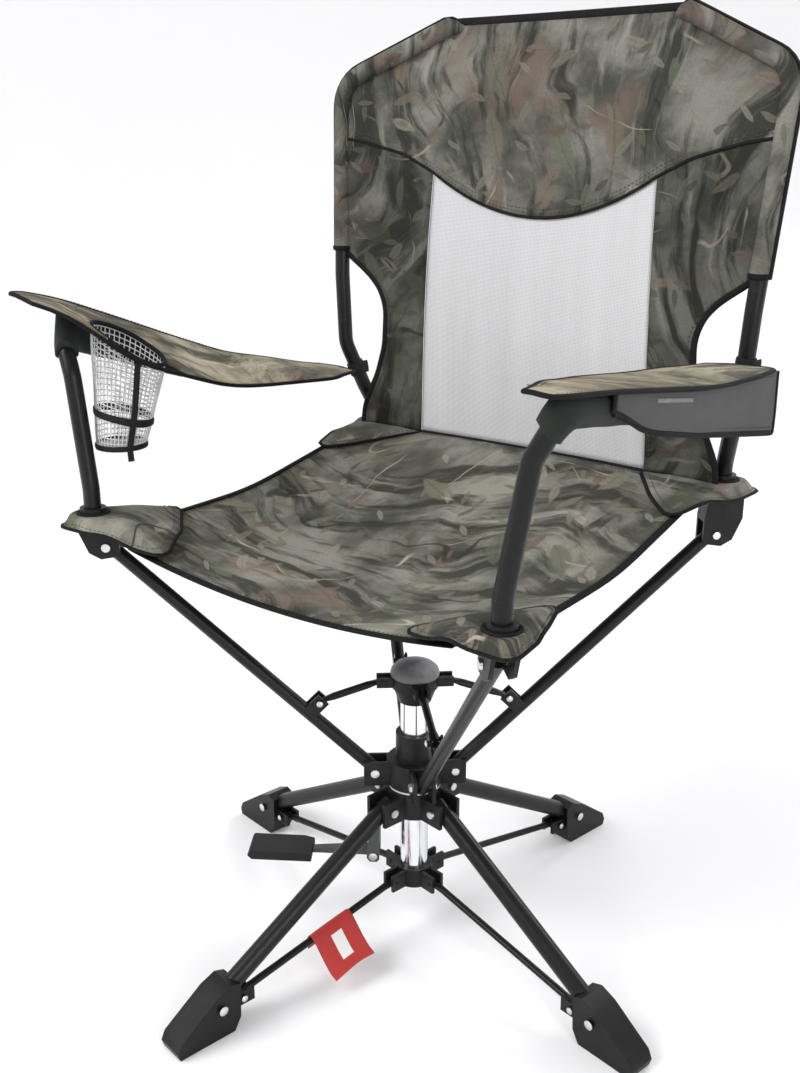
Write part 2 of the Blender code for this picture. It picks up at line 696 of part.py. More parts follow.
def build_armrests(camo, mesh_cloth, plastic):
    left = armrest_surface(-1.0, LEFT_OUTER, LEFT_INNER, -0.2620, 0.1820)
    rest = cloth_sheet("armrest_left", camo, 5, 10, left, ARMREST_THICKNESS)
    hole = bmesh.new()
    x, y = CUP_CENTRE
    add_rod(hole, (x, y, 0.60), (x, y, 0.80), CUP_RADIUS - 0.001, sides=24)
    boolean(rest, "DIFFERENCE", hole)
    right = armrest_surface(1.0, RIGHT_OUTER, RIGHT_INNER, -0.2450, 0.1720)
    cloth_sheet("armrest_right", camo, 5, 10, right, ARMREST_THICKNESS)

    wall = 0.0018
    profile = [
        (0.0, 0.5750), (CUP_RADIUS * 0.92, 0.5750), (CUP_RADIUS, 0.5850), (CUP_RADIUS, 0.6520),
        (CUP_RADIUS - wall, 0.6520), (CUP_RADIUS - wall, 0.5860),
        (CUP_RADIUS * 0.92 - wall, 0.5770), (0.0, 0.5770),
    ]
    cup = bmesh.new()
    add_turned(cup, profile, Matrix.Translation((x, y, 0.0)), sides=24)
    place("cup_holder", cup, mesh_cloth)

    pocket = bmesh.new()
    outline = [
        (-0.1550, 0.6790), (-0.1000, 0.6560), (0.0, 0.6350), (0.1720, 0.6050),
        (0.1720, 0.6580), (0.0, 0.6750), (-0.1550, 0.6920),
    ]
    across = Matrix.Rotation(math.pi / 2, 4, "Z")
    add_profile(pocket, outline, -0.3120, -0.3080, across)
    place("side_pocket", pocket, plastic)


# ---------------------------------------------------------------- the whole chair
def build_chair():
    clear_scene()
    black = material("black_plastic", (0.020, 0.021, 0.022), 0.45)
    frame_steel = material("black_powder_coat", (0.022, 0.023, 0.025), 0.38, 0.3)
    steel = material("zinc_bolt", (0.62, 0.62, 0.60), 0.32, 1.0)
    chrome = material("chrome_column", (0.80, 0.80, 0.81), 0.15, 1.0)
    camo = material("camo_cloth", (0.105, 0.105, 0.075), 0.85)
    mesh_cloth = material("grey_mesh", (0.72, 0.72, 0.74), 0.80)
    pocket_cloth = material("grey_pocket", (0.075, 0.075, 0.078), 0.85)

    build_column(black, chrome)
    build_hubs(black, steel, mesh_cloth)
    build_cap(black, black)
    build_pedal(frame_steel, steel, black)
    for index, corner in enumerate(CORNERS):
        build_leg(index, corner, frame_steel, black)
        build_lower_rod(index, corner, frame_steel)
        build_arm(corner, ARM_AZIMUTHS[index], frame_steel, steel)
        build_strut(corner, ARM_AZIMUTHS[index], frame_steel)
        build_bracket(corner, ARM_AZIMUTHS[index], black)
    for side in ("left", "right"):
        build_front_post(f"front_{side}", frame_steel)
        build_back_post(f"back_{side}", frame_steel)
    build_seat(camo)
    build_back(camo, mesh_cloth)
    build_armrests(camo, mesh_cloth, pocket_cloth)


build_chair()
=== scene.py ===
import json
import math

import bmesh
import bpy
from mathutils import Matrix, Vector, noise


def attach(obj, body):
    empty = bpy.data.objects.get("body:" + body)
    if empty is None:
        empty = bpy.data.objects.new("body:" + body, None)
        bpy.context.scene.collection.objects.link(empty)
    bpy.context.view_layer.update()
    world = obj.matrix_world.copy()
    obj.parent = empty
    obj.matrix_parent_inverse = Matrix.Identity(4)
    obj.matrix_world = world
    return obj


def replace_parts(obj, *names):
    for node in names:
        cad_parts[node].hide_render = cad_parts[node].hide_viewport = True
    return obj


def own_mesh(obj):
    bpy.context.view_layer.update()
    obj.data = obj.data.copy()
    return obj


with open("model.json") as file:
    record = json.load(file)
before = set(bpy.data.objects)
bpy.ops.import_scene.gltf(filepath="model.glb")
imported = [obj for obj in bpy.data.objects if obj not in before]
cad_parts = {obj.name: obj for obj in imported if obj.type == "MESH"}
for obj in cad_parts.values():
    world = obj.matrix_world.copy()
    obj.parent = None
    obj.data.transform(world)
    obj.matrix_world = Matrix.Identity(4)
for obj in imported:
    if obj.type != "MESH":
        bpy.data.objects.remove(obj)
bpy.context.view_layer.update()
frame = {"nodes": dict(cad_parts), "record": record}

# Studio: a wide pale floor that curves up into a low wall all round, soft white light from a large
# box above the sitter's right and smaller ones on the other sides, and a camera standing in front.
FLOOR_COLOUR = (0.86, 0.86, 0.87, 1.0)
FLAT_RADIUS, FLOOR_RADIUS, WALL_HEIGHT, WALL_STEPS = 2.4, 4.6, 3.4, 12
FLOOR_LEVEL = -0.0006

floor_shape = bmesh.new()
floor_profile = [Vector((0.0, 0.0, FLOOR_LEVEL)), Vector((FLAT_RADIUS, 0.0, FLOOR_LEVEL))]
for step in range(1, WALL_STEPS + 1):
    turn = math.radians(90.0 * step / WALL_STEPS)
    floor_profile.append(Vector((
        FLAT_RADIUS + (FLOOR_RADIUS - FLAT_RADIUS) * math.sin(turn), 0.0,
        FLOOR_LEVEL + WALL_HEIGHT * (1 - math.cos(turn)),
    )))
floor_points = [floor_shape.verts.new(point) for point in floor_profile]
floor_edges = [floor_shape.edges.new(pair) for pair in zip(floor_points, floor_points[1:])]
bmesh.ops.spin(
    floor_shape, geom=floor_points + floor_edges, cent=(0, 0, 0), axis=(0, 0, 1),
    angle=math.tau, steps=64, use_merge=True,
)
bmesh.ops.remove_doubles(floor_shape, verts=floor_shape.verts[:], dist=1e-4)
bmesh.ops.recalc_face_normals(floor_shape, faces=floor_shape.faces[:])
bmesh.ops.reverse_faces(floor_shape, faces=[f for f in floor_shape.faces if f.normal.z < -0.2])
floor_mesh = bpy.data.meshes.new("studio_floor")
for face in floor_shape.faces:
    face.smooth = True
floor_shape.to_mesh(floor_mesh)
floor_shape.free()
floor_paint = bpy.data.materials.new("floor_paint")
floor_paint.use_nodes = True
floor_paint.node_tree.nodes["Principled BSDF"].inputs["Base Color"].default_value = FLOOR_COLOUR
floor_paint.node_tree.nodes["Principled BSDF"].inputs["Roughness"].default_value = 0.75
floor_mesh.materials.append(floor_paint)
studio_floor = bpy.data.objects.new("studio_floor", floor_mesh)
bpy.context.scene.collection.objects.link(studio_floor)
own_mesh(studio_floor)

studio_air = bpy.data.worlds.new("studio_air")
studio_air.use_nodes = True
studio_air.node_tree.nodes["Background"].inputs["Color"].default_value = (1.0, 1.0, 1.0, 1.0)
studio_air.node_tree.nodes["Background"].inputs["Strength"].default_value = 0.80
bpy.context.scene.world = studio_air
bpy.context.scene.view_settings.view_transform = "Standard"


def softbox(name, place, aim, size, power):
    lamp = bpy.data.lights.new(name, "AREA")
    lamp.shape = "RECTANGLE"
    lamp.size, lamp.size_y = size
    lamp.energy = power
    box = bpy.data.objects.new(name, lamp)
    box.location = place
    box.rotation_mode = "QUATERNION"
    box.rotation_quaternion = (Vector(aim) - Vector(place)).to_track_quat("-Z", "Y")
    bpy.context.scene.collection.objects.link(box)


softbox("key_box", (-1.3, -2.2, 2.6), (0.0, 0.0, 0.55), (1.8, 1.4), 78.0)
softbox("fill_box", (2.5, -1.2, 1.5), (0.0, 0.0, 0.45), (0.9, 1.8), 29.0)
softbox("rear_box", (0.6, 2.5, 2.2), (0.0, 0.0, 0.6), (1.8, 0.8), 34.0)

CAMERA_AIM = Vector((0.0, -0.0266, 0.4855))
CAMERA_DISTANCE = 1.2614
CAMERA_AZIMUTH, CAMERA_ELEVATION = math.radians(38.27), math.radians(18.18)
camera_back = Vector((
    math.sin(CAMERA_AZIMUTH) * math.cos(CAMERA_ELEVATION),
    -math.cos(CAMERA_AZIMUTH) * math.cos(CAMERA_ELEVATION),
    math.sin(CAMERA_ELEVATION),
))
camera = bpy.data.objects.new("camera", bpy.data.cameras.new("camera"))
camera.data.lens = 40.44
camera.data.sensor_width = 36.0
camera.location = CAMERA_AIM + camera_back * CAMERA_DISTANCE
camera.rotation_mode = "QUATERNION"
camera.rotation_quaternion = (-camera_back).to_track_quat("-Z", "Y")
bpy.context.scene.collection.objects.link(camera)
bpy.context.scene.camera = camera


# Hubs: two black glass-filled nylon mouldings on the column. The lower one carries the legs and the
# upper one turns on it with the seat arms; a pale washer runs between them.
class Tone:
    """A value that changes over a finish. Arithmetic on it adds Math nodes."""

    def __init__(self, finish, socket):
        self.finish, self.socket = finish, socket

    def __add__(self, other):
        return self.finish.maths("ADD", self, other)

    def __sub__(self, other):
        return self.finish.maths("SUBTRACT", self, other)

    def __rsub__(self, other):
        return self.finish.maths("SUBTRACT", other, self)

    def __mul__(self, other):
        return self.finish.maths("MULTIPLY", self, other)

    def __abs__(self):
        return self.finish.maths("ABSOLUTE", self)

    __radd__, __rmul__ = __add__, __mul__


class Finish:
    """A material with one glossy or matt surface, whose colour, roughness and relief are worked out by nodes."""

    def __init__(self, name):
        self.material = bpy.data.materials.new(name)
        self.material.use_nodes = True
        self.tree = self.material.node_tree
        self.tree.nodes.clear()

    def node(self, kind, settings, sockets, output=0):
        made = self.tree.nodes.new(kind)
        for name, value in settings.items():
            if name == "stops":
                ramp = made.color_ramp
                while len(ramp.elements) < len(value):
                    ramp.elements.new(0.5)
                for element, (place, colour) in zip(ramp.elements, value):
                    element.position, element.color = place, (*colour, 1.0)
            else:
                setattr(made, name, value)
        for name, value in sockets.items():
            if isinstance(value, Tone):
                self.tree.links.new(value.socket, made.inputs[name])
            elif hasattr(value, "__len__") and len(value) == 3 and made.inputs[name].type == "RGBA":
                made.inputs[name].default_value = (*value, 1.0)
            else:
                made.inputs[name].default_value = value
        return Tone(self, made.outputs[output] if len(made.outputs) else None)

    def maths(self, operation, *values):
        return self.node("ShaderNodeMath", {"operation": operation}, dict(enumerate(values)))

    def vector(self, operation, *values, output=0):
        return self.node("ShaderNodeVectorMath", {"operation": operation}, dict(enumerate(values)), output)

    def mix(self, share, first, last, way="MIX"):
        settings = {"data_type": "RGBA", "blend_type": way, "clamp_factor": True}
        return self.node("ShaderNodeMix", settings, {0: share, 6: first, 7: last}, 2)

    def step(self, value, low, high):
        """Rises smoothly from 0 to 1 as value goes from low to high."""
        settings = {"interpolation_type": "SMOOTHSTEP"}
        return self.node("ShaderNodeMapRange", settings, {"Value": value, "From Min": low, "From Max": high})

    def cloud(self, place, scale, detail=2.0, roughness=0.5, distortion=0.0, output=0):
        sockets = {
            "Vector": place, "Scale": scale, "Detail": detail, "Roughness": roughness, "Distortion": distortion,
        }
        return self.node("ShaderNodeTexNoise", {}, sockets, output)

    def here(self):
        return self.node("ShaderNodeTexCoord", {}, {}, "Object")

    def cut(self):
        """Places on the cloth's own flat pattern, in metres."""
        return self.node("ShaderNodeUVMap", {"uv_map": "cloth"}, {})

    def outputs(self, tone, *numbers):
        """Other outputs of the node that made a tone."""
        return (Tone(self, tone.socket.node.outputs[number]) for number in numbers)

    def parts(self, vector):
        """The x and y of a vector."""
        return self.outputs(self.node("ShaderNodeSeparateXYZ", {}, {0: vector}), 0, 1)

    def shifted(self, vector, scale, detail, reach, place=None):
        """A vector pushed about by a soft cloud, by up to a reach in each direction."""
        push = self.cloud(vector if place is None else place, scale, detail, output=1)
        return self.vector("ADD", vector, self.vector("MULTIPLY", push, reach))

    def surface(self, sockets, relief=None, depth=0.001):
        if relief is not None:
            sockets["Normal"] = self.node("ShaderNodeBump", {}, {"Height": relief, "Distance": depth, "Strength": 1.0})
        skin = self.node("ShaderNodeBsdfPrincipled", {}, sockets)
        self.node("ShaderNodeOutputMaterial", {}, {"Surface": skin})
        return self


def moulded_plastic(name, colour, roughness):
    """Black engineering plastic: an even grain, a few rubbed and dusty patches."""
    plastic = Finish(name)
    place = plastic.here()
    grain = plastic.cloud(place, 1900.0, 2.0)
    dust = plastic.step(plastic.cloud(place, 26.0, 5.0, 0.65), 0.48, 0.74)
    lighter = tuple(min(1.0, 2.6 * channel + 0.012) for channel in colour)
    plastic.surface({
        "Base Color": plastic.mix(dust * 0.5, colour, lighter),
        "Roughness": dust * 0.18 + grain * 0.08 + (roughness - 0.06),
        "Specular IOR Level": 0.22,
    }, grain, 0.00016)
    return plastic


def zinc_plate(name, colour, roughness):
    """Bright plated steel with a faintly mottled, handled surface."""
    plate = Finish(name)
    place = plate.here()
    mottle = plate.cloud(place, 210.0, 4.0, 0.6)
    tarnish = plate.step(plate.cloud(place, 60.0, 3.0), 0.45, 0.75)
    darker = tuple(0.55 * channel for channel in colour)
    plate.surface({
        "Base Color": plate.mix(tarnish * 0.6, colour, darker),
        "Metallic": 1.0,
        "Roughness": mottle * 0.16 + tarnish * 0.10 + (roughness - 0.08),
    }, mottle, 0.00005)
    return plate


hub_plastic = moulded_plastic("hub_plastic", (0.0085, 0.0085, 0.0090), 0.40)
bolt_steel = zinc_plate("bolt_steel", (0.66, 0.67, 0.68), 0.30)
FLAT_ANGLE, CRISP_ANGLE = math.radians(0.6), math.radians(34.0)
body_of = {node: body for body, nodes in frame["record"]["behaviour"]["bodies"].items() for node in nodes}


def add_piece(name, shape, finish, body, crease=38.0):
    """Shade a mesh smooth up to a crease angle, give it its finish and hang it on its body."""
    for face in shape.faces:
        face.smooth = True
    for edge in shape.edges:
        edge.smooth = len(edge.link_faces) != 2 or edge.calc_face_angle(0.0) < math.radians(crease)
    mesh = bpy.data.meshes.new(name)
    shape.to_mesh(mesh)
    shape.free()
    for one in finish if isinstance(finish, tuple) else (finish,):
        mesh.materials.append(one.material)
    piece = bpy.data.objects.new(name, mesh)
    bpy.context.scene.collection.objects.link(piece)
    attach(piece, body)
    return piece


def dress_part(node, finish, rounding=0.0005):
    """A merged copy of a hard part with its edges rounded, standing for the plain one."""
    shape = bmesh.new()
    shape.from_mesh(frame["nodes"][node].data)
    bmesh.ops.remove_doubles(shape, verts=shape.verts[:], dist=1e-5)
    bmesh.ops.dissolve_limit(shape, angle_limit=FLAT_ANGLE, verts=shape.verts[:], edges=shape.edges[:])
    crisp = [edge for edge in shape.edges
             if len(edge.link_faces) == 2 and edge.calc_face_angle(0.0) > CRISP_ANGLE]
    bmesh.ops.bevel(shape, geom=crisp, offset=rounding, segments=2, affect="EDGES", profile=0.5,
                    material=-1, clamp_overlap=True)
    piece = add_piece(f"{node}_dressed", shape, finish, body_of[node], 60.0)
    even = piece.modifiers.new("even_shading", "WEIGHTED_NORMAL")
    even.keep_sharp = True
    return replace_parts(piece, node)


for node in ("lower_hub", "upper_hub", "column_collar", "cap_ring"):
    dress_part(node, hub_plastic)

washer_plastic = moulded_plastic("washer_plastic", (0.60, 0.59, 0.56), 0.5)
dress_part("thrust_washer", washer_plastic, 0.0003)

CORNERS = ("front_left", "front_right", "back_right", "back_left")
for corner in CORNERS:
    for kind in ("leg_bolt", "arm_bolt", "corner_bolt"):
        dress_part(f"{kind}_{corner}", bolt_steel, 0.0006)

# Column: a chromed steel tube that slides in both hubs, and on its top a grey plastic dome that
# closes the black cap ring.
chrome = Finish("column_chrome")
chrome_place = chrome.here()
drawn = chrome.cloud(chrome.vector("MULTIPLY", chrome_place, (900.0, 900.0, 14.0)), 1.0, 3.0, 0.6)
chrome.surface({
    "Base Color": chrome.mix(chrome.step(chrome.cloud(chrome_place, 40.0, 3.0), 0.5, 0.8) * 0.5,
                             (0.86, 0.87, 0.89), (0.60, 0.62, 0.65)),
    "Metallic": 1.0,
    "Roughness": drawn * 0.16 + 0.06,
}, drawn, 0.00003)
dress_part("column_tube", chrome, 0.0006)
dome_plastic = moulded_plastic("dome_plastic", (0.130, 0.132, 0.136), 0.34)
dress_part("cap_dome", dome_plastic, 0.0006)

# Legs: round steel tubes in black powder coat, each with a bolted plastic shoe. A thin stay rod with
# pinched, drilled ends runs from the collar to the ears of each shoe.
LEG_AZIMUTHS = (260.1, 350.1, 80.1, 170.1)
COLLAR_PIVOT, FOOT_PIVOT, SHOE_BOLT = (0.0330, 0.0680), (0.2500, 0.0290), (0.2800, 0.0336)


def powder_coat(name, colour, roughness):
    """Black powder coat: orange peel, soft gloss, and paler scuffs where the frame rubs."""
    coat = Finish(name)
    place = coat.here()
    peel = coat.cloud(place, 620.0, 3.0, 0.55)
    scuffs = coat.step(coat.cloud(coat.vector("MULTIPLY", place, (1.0, 1.0, 3.2)), 48.0, 6.0, 0.7), 0.62, 0.74)
    worn = tuple(2.4 * channel + 0.020 for channel in colour)
    coat.surface({
        "Base Color": coat.mix(scuffs * 0.55, colour, worn),
        "Roughness": scuffs * 0.16 + peel * 0.10 + (roughness - 0.05),
        "Specular IOR Level": 0.22,
    }, peel, 0.00012)
    return coat


leg_coat = powder_coat("leg_coat", (0.0075, 0.0080, 0.0075), 0.33)
rod_coat = powder_coat("rod_coat", (0.0065, 0.0070, 0.0065), 0.36)
shoe_plastic = moulded_plastic("shoe_plastic", (0.0050, 0.0050, 0.0052), 0.38)


def upright_plane(azimuth):
    """Turns a shape drawn in x and z so that its x points along an azimuth."""
    return Matrix.Rotation(math.radians(azimuth), 4, "Z")


def drawn_rod(node, start, end, radius, azimuth):
    """A rod between two pins whose ends are pinched flat and rounded over."""
    start, end = Vector((start[0], 0.0, start[1])), Vector((end[0], 0.0, end[1]))
    length = (end - start).length
    eye = 1.55 * radius
    stations = [(-eye, 0.35, 0.45), (-0.72 * eye, 0.52, 1.15), (0.0, 0.55, 1.55), (1.2 * eye, 0.60, 1.45),
                (2.6 * eye, 1.0, 1.0)]
    stations += [(length - along, across, tall) for along, across, tall in reversed(stations)]
    shape = bmesh.new()
    ring = bmesh.ops.create_circle(shape, cap_ends=True, segments=16, radius=radius)["verts"]
    place = Vector(stations[0])
    bmesh.ops.transform(shape, matrix=Matrix.Diagonal((place.z, place.y, 1.0, 1.0)), verts=ring)
    bmesh.ops.translate(shape, vec=(0, 0, place.x), verts=ring)
    face = shape.faces[:][0]
    for number, (along, across, tall) in enumerate(stations[1:]):
        grown = bmesh.ops.extrude_face_region(shape, geom=[face])["geom"]
        if number:
            bmesh.ops.delete(shape, geom=[face], context="FACES_ONLY")
        face = [item for item in grown if isinstance(item, bmesh.types.BMFace)][0]
        points = [item for item in grown if isinstance(item, bmesh.types.BMVert)]
        bmesh.ops.scale(shape, vec=(tall / place.z, across / place.y, 1.0), verts=points)
        bmesh.ops.translate(shape, vec=(0, 0, along - place.x), verts=points)
        place = Vector((along, across, tall))
    bmesh.ops.recalc_face_normals(shape, faces=shape.faces[:])
    aim = (end - start).normalized().to_track_quat("Z", "Y").to_matrix().to_4x4()
    matrix = upright_plane(azimuth) @ Matrix.Translation(start) @ aim
    bmesh.ops.transform(shape, matrix=matrix, verts=shape.verts[:])
    piece = add_piece(f"{node}_drawn", shape, rod_coat, body_of[node], 50.0)
    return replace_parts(piece, node)


def cross_pin(name, place, azimuth, half, body, radius=0.0021, head=0.0037):
    """A rivet through a fork, with a domed head at each end."""
    shape = bmesh.new()
    outline = [(0.0, -half - 0.0016), (0.6 * head, -half - 0.0013), (head, -half - 0.0001), (head, -half + 0.0003),
               (radius, -half + 0.0003), (radius, half - 0.0003), (head, half - 0.0003), (head, half + 0.0001),
               (0.6 * head, half + 0.0013), (0.0, half + 0.0016)]
    points = [shape.verts.new((x, 0.0, z)) for x, z in outline]
    edges = [shape.edges.new(pair) for pair in zip(points, points[1:])]
    bmesh.ops.spin(shape, geom=points + edges, cent=(0, 0, 0), axis=(0, 0, 1), angle=math.tau, steps=16,
                   use_merge=True)
    bmesh.ops.remove_doubles(shape, verts=shape.verts[:], dist=1e-6)
    bmesh.ops.recalc_face_normals(shape, faces=shape.faces[:])
    matrix = upright_plane(azimuth) @ Matrix.Translation((place[0], 0.0, place[1]))
    bmesh.ops.transform(shape, matrix=matrix @ Matrix.Rotation(math.pi / 2, 4, "X"), verts=shape.verts[:])
    return add_piece(name, shape, bolt_steel, body)


for corner, azimuth in zip(CORNERS, LEG_AZIMUTHS):
    dress_part(f"leg_{corner}", leg_coat, 0.0006)
    dress_part(f"shoe_{corner}", shoe_plastic, 0.0011)
    drawn_rod(f"lower_rod_{corner}", COLLAR_PIVOT, FOOT_PIVOT, 0.0040, azimuth)
    cross_pin(f"shoe_pin_{corner}", FOOT_PIVOT, azimuth, 0.0124, f"leg_{corner}")
    cross_pin(f"shoe_bolt_{corner}", SHOE_BOLT, azimuth, 0.0188, f"leg_{corner}", head=0.0052)

# Struts: four short rods from the cap down to a pair of lugs on each seat arm.
ARM_AZIMUTHS = (220.7, 319.3, 43.4, 136.6)
CAP_PIVOT, STRUT_END = (0.0360, 0.3120), (0.1053, 0.2882)
arm_coat = powder_coat("arm_coat", (0.0085, 0.0090, 0.0085), 0.32)
for corner, azimuth in zip(CORNERS, ARM_AZIMUTHS):
    drawn_rod(f"strut_{corner}", CAP_PIVOT, STRUT_END, 0.0042, azimuth)
    dress_part(f"arm_{corner}", arm_coat)
    cross_pin(f"strut_pin_{corner}", STRUT_END, azimuth, 0.0098, f"arm_{corner}")

# Corner blocks and uprights: each arm ends in a forked plastic block, and a bent steel tube stands in
# its socket.
block_plastic = moulded_plastic("block_plastic", (0.0070, 0.0072, 0.0072), 0.42)
post_coat = powder_coat("post_coat", (0.0060, 0.0066, 0.0060), 0.34)
for corner in CORNERS:
    dress_part(f"corner_bracket_{corner}", block_plastic, 0.0009)
for node in ("front_post_left", "front_post_right", "back_post_left", "back_post_right"):
    dress_part(node, post_coat, 0.0008)

# Release pedal: a pressed steel bracket under the lower hub, a flat lever on a pin with a torsion
# spring round it, and a rubber foot pad.
pedal_coat = powder_coat("pedal_coat", (0.060, 0.066, 0.060), 0.42)
pad_rubber = moulded_plastic("pad_rubber", (0.015, 0.015, 0.016), 0.62)
for node in ("pedal_bracket", "pedal_lever"):
    dress_part(node, pedal_coat, 0.0006)
dress_part("pedal_pad", pad_rubber, 0.0012)
dress_part("pedal_pin", bolt_steel, 0.0006)

# Seat: one piece of coated, printed polyester slung between four corner pockets and bound all round
# in black tape. It is cut in two here, across the middle, because its halves fold with their own corners.
SEAT_HALF = ((-0.2150, 0.2050), (-0.1700, 0.2430), (0.1500, 0.2380), (0.1970, 0.2020))
SEAT_EDGE = ((-0.2200, 0.4900), (0.0000, 0.4960), (0.2000, 0.5325))
SEAT_SAG = ((-0.2200, 0.0280), (-0.0500, 0.0420), (0.2000, 0.0005))
SEAT_FRONT, SEAT_REAR = -0.2150, 0.1970
SEAT_HEM, CLOTH_THICKNESS = 0.012, 0.0012


def between(table, value):
    """Read a short table of (place, value) points along straight lines."""
    if value <= table[0][0]:
        return table[0][1]
    for (low, first), (high, last) in zip(table, table[1:]):
        if value <= high:
            return first + (last - first) * (value - low) / (high - low)
    return table[-1][1]


def eased(table, value, reach=0.03):
    """The same table with its corners rounded over."""
    return sum(between(table, value + reach * share) for share in (-1.0, -0.5, 0.0, 0.5, 1.0)) / 5


def rise(value, low, high):
    """Climbs smoothly from 0 to 1."""
    share = min(max((value - low) / (high - low), 0.0), 1.0)
    return share * share * (3.0 - 2.0 * share)


def pleat(x, y, start, end, width, depth):
    """A soft fold from start to end that dies away at both."""
    run_x, run_y = end[0] - start[0], end[1] - start[1]
    length = math.hypot(run_x, run_y)
    along = ((x - start[0]) * run_x + (y - start[1]) * run_y) / length ** 2
    aside = ((x - start[0]) * run_y - (y - start[1]) * run_x) / length
    if not 0.0 < along < 1.0:
        return 0.0
    return depth * math.sin(math.pi * along) ** 1.2 * math.exp(-((aside / width) ** 2))


SEAT_PLEATS = (
    ((-0.235, -0.205), (-0.05, -0.10), 0.008, 0.0024), ((-0.235, -0.19), (-0.08, -0.03), 0.010, -0.0022),
    ((0.235, -0.205), (0.05, -0.11), 0.008, 0.0024), ((0.235, -0.185), (0.10, -0.04), 0.010, -0.0020),
    ((0.225, 0.175), (0.08, 0.06), 0.009, 0.0024), ((-0.225, 0.175), (-0.07, 0.05), 0.009, 0.0024),
    ((-0.18, -0.19), (0.15, -0.185), 0.012, 0.0020), ((-0.13, 0.10), (0.16, 0.13), 0.011, 0.0018),
)


def rear_line(x):
    """The rear edge bows backwards to meet the backrest."""
    return SEAT_REAR + 0.0225 * max(0.0, 1.0 - (x / 0.27) ** 2)


def seat_place(x, y):
    """The sagging seat: high at the rear edge and the corners, lowest near the middle."""
    across = 1.0 - (x / 0.26) ** 2
    height = eased(SEAT_EDGE, y) - across * eased(SEAT_SAG, y)
    calm = rise(between(SEAT_HALF, y) - abs(x), 0.0, 0.04) * rise(min(y - SEAT_FRONT, rear_line(x) - y), 0.0, 0.035)
    ripple = 0.0016 * noise.noise((x * 9.0, y * 7.0, 2.3)) + 0.0007 * noise.noise((x * 24.0, y * 17.0, 5.9))
    ripple += sum(pleat(x, y, *fold) for fold in SEAT_PLEATS)
    return Vector((x, y, height + calm * ripple))


def cloth_weave(finish, cloth, pitch):
    """Plain weave: the relief of crossing threads, a little uneven."""
    along, across = finish.parts(finish.shifted(cloth, 90.0, 2.0, (0.0006, 0.0006, 0.0)))
    turn = math.tau / pitch
    warp, weft = finish.maths("SINE", along * turn), finish.maths("SINE", across * turn)
    return abs(warp * weft) * 0.6 + finish.cloud(cloth, 2400.0, 2.0) * 0.4


def leaves(finish, cloth, scale, long, wide, present, turn):
    """Scattered leaf shapes: a mask, each leaf's own random colour and the shade across it."""
    bent = finish.shifted(cloth, scale * 2.2, 3.0, (0.16 / scale, 0.16 / scale, 0.0))
    cells = finish.node("ShaderNodeTexVoronoi", {"voronoi_dimensions": "2D"},
                        {"Vector": bent, "Scale": scale, "Randomness": 1.0})
    colour, centre = finish.outputs(cells, 1, 2)
    own, second = finish.outputs(finish.node("ShaderNodeSeparateColor", {}, {0: colour}), 0, 1)
    off = finish.vector("SUBTRACT", bent, centre)
    along, aside = finish.parts(finish.node("ShaderNodeVectorRotate", {"rotation_type": "Z_AXIS"},
                                            {"Vector": off, "Angle": second * 2.4 + turn}))
    along = along * (1.0 / long)
    edge = (1.0 - along * along) * wide - abs(aside)
    mask = finish.step(edge, 0.0, wide * 0.35) * finish.step(own, 1.0 - present, 1.0 - present + 0.03)
    vein = finish.step(abs(aside), 0.0, wide * 0.10)
    return mask, second, vein


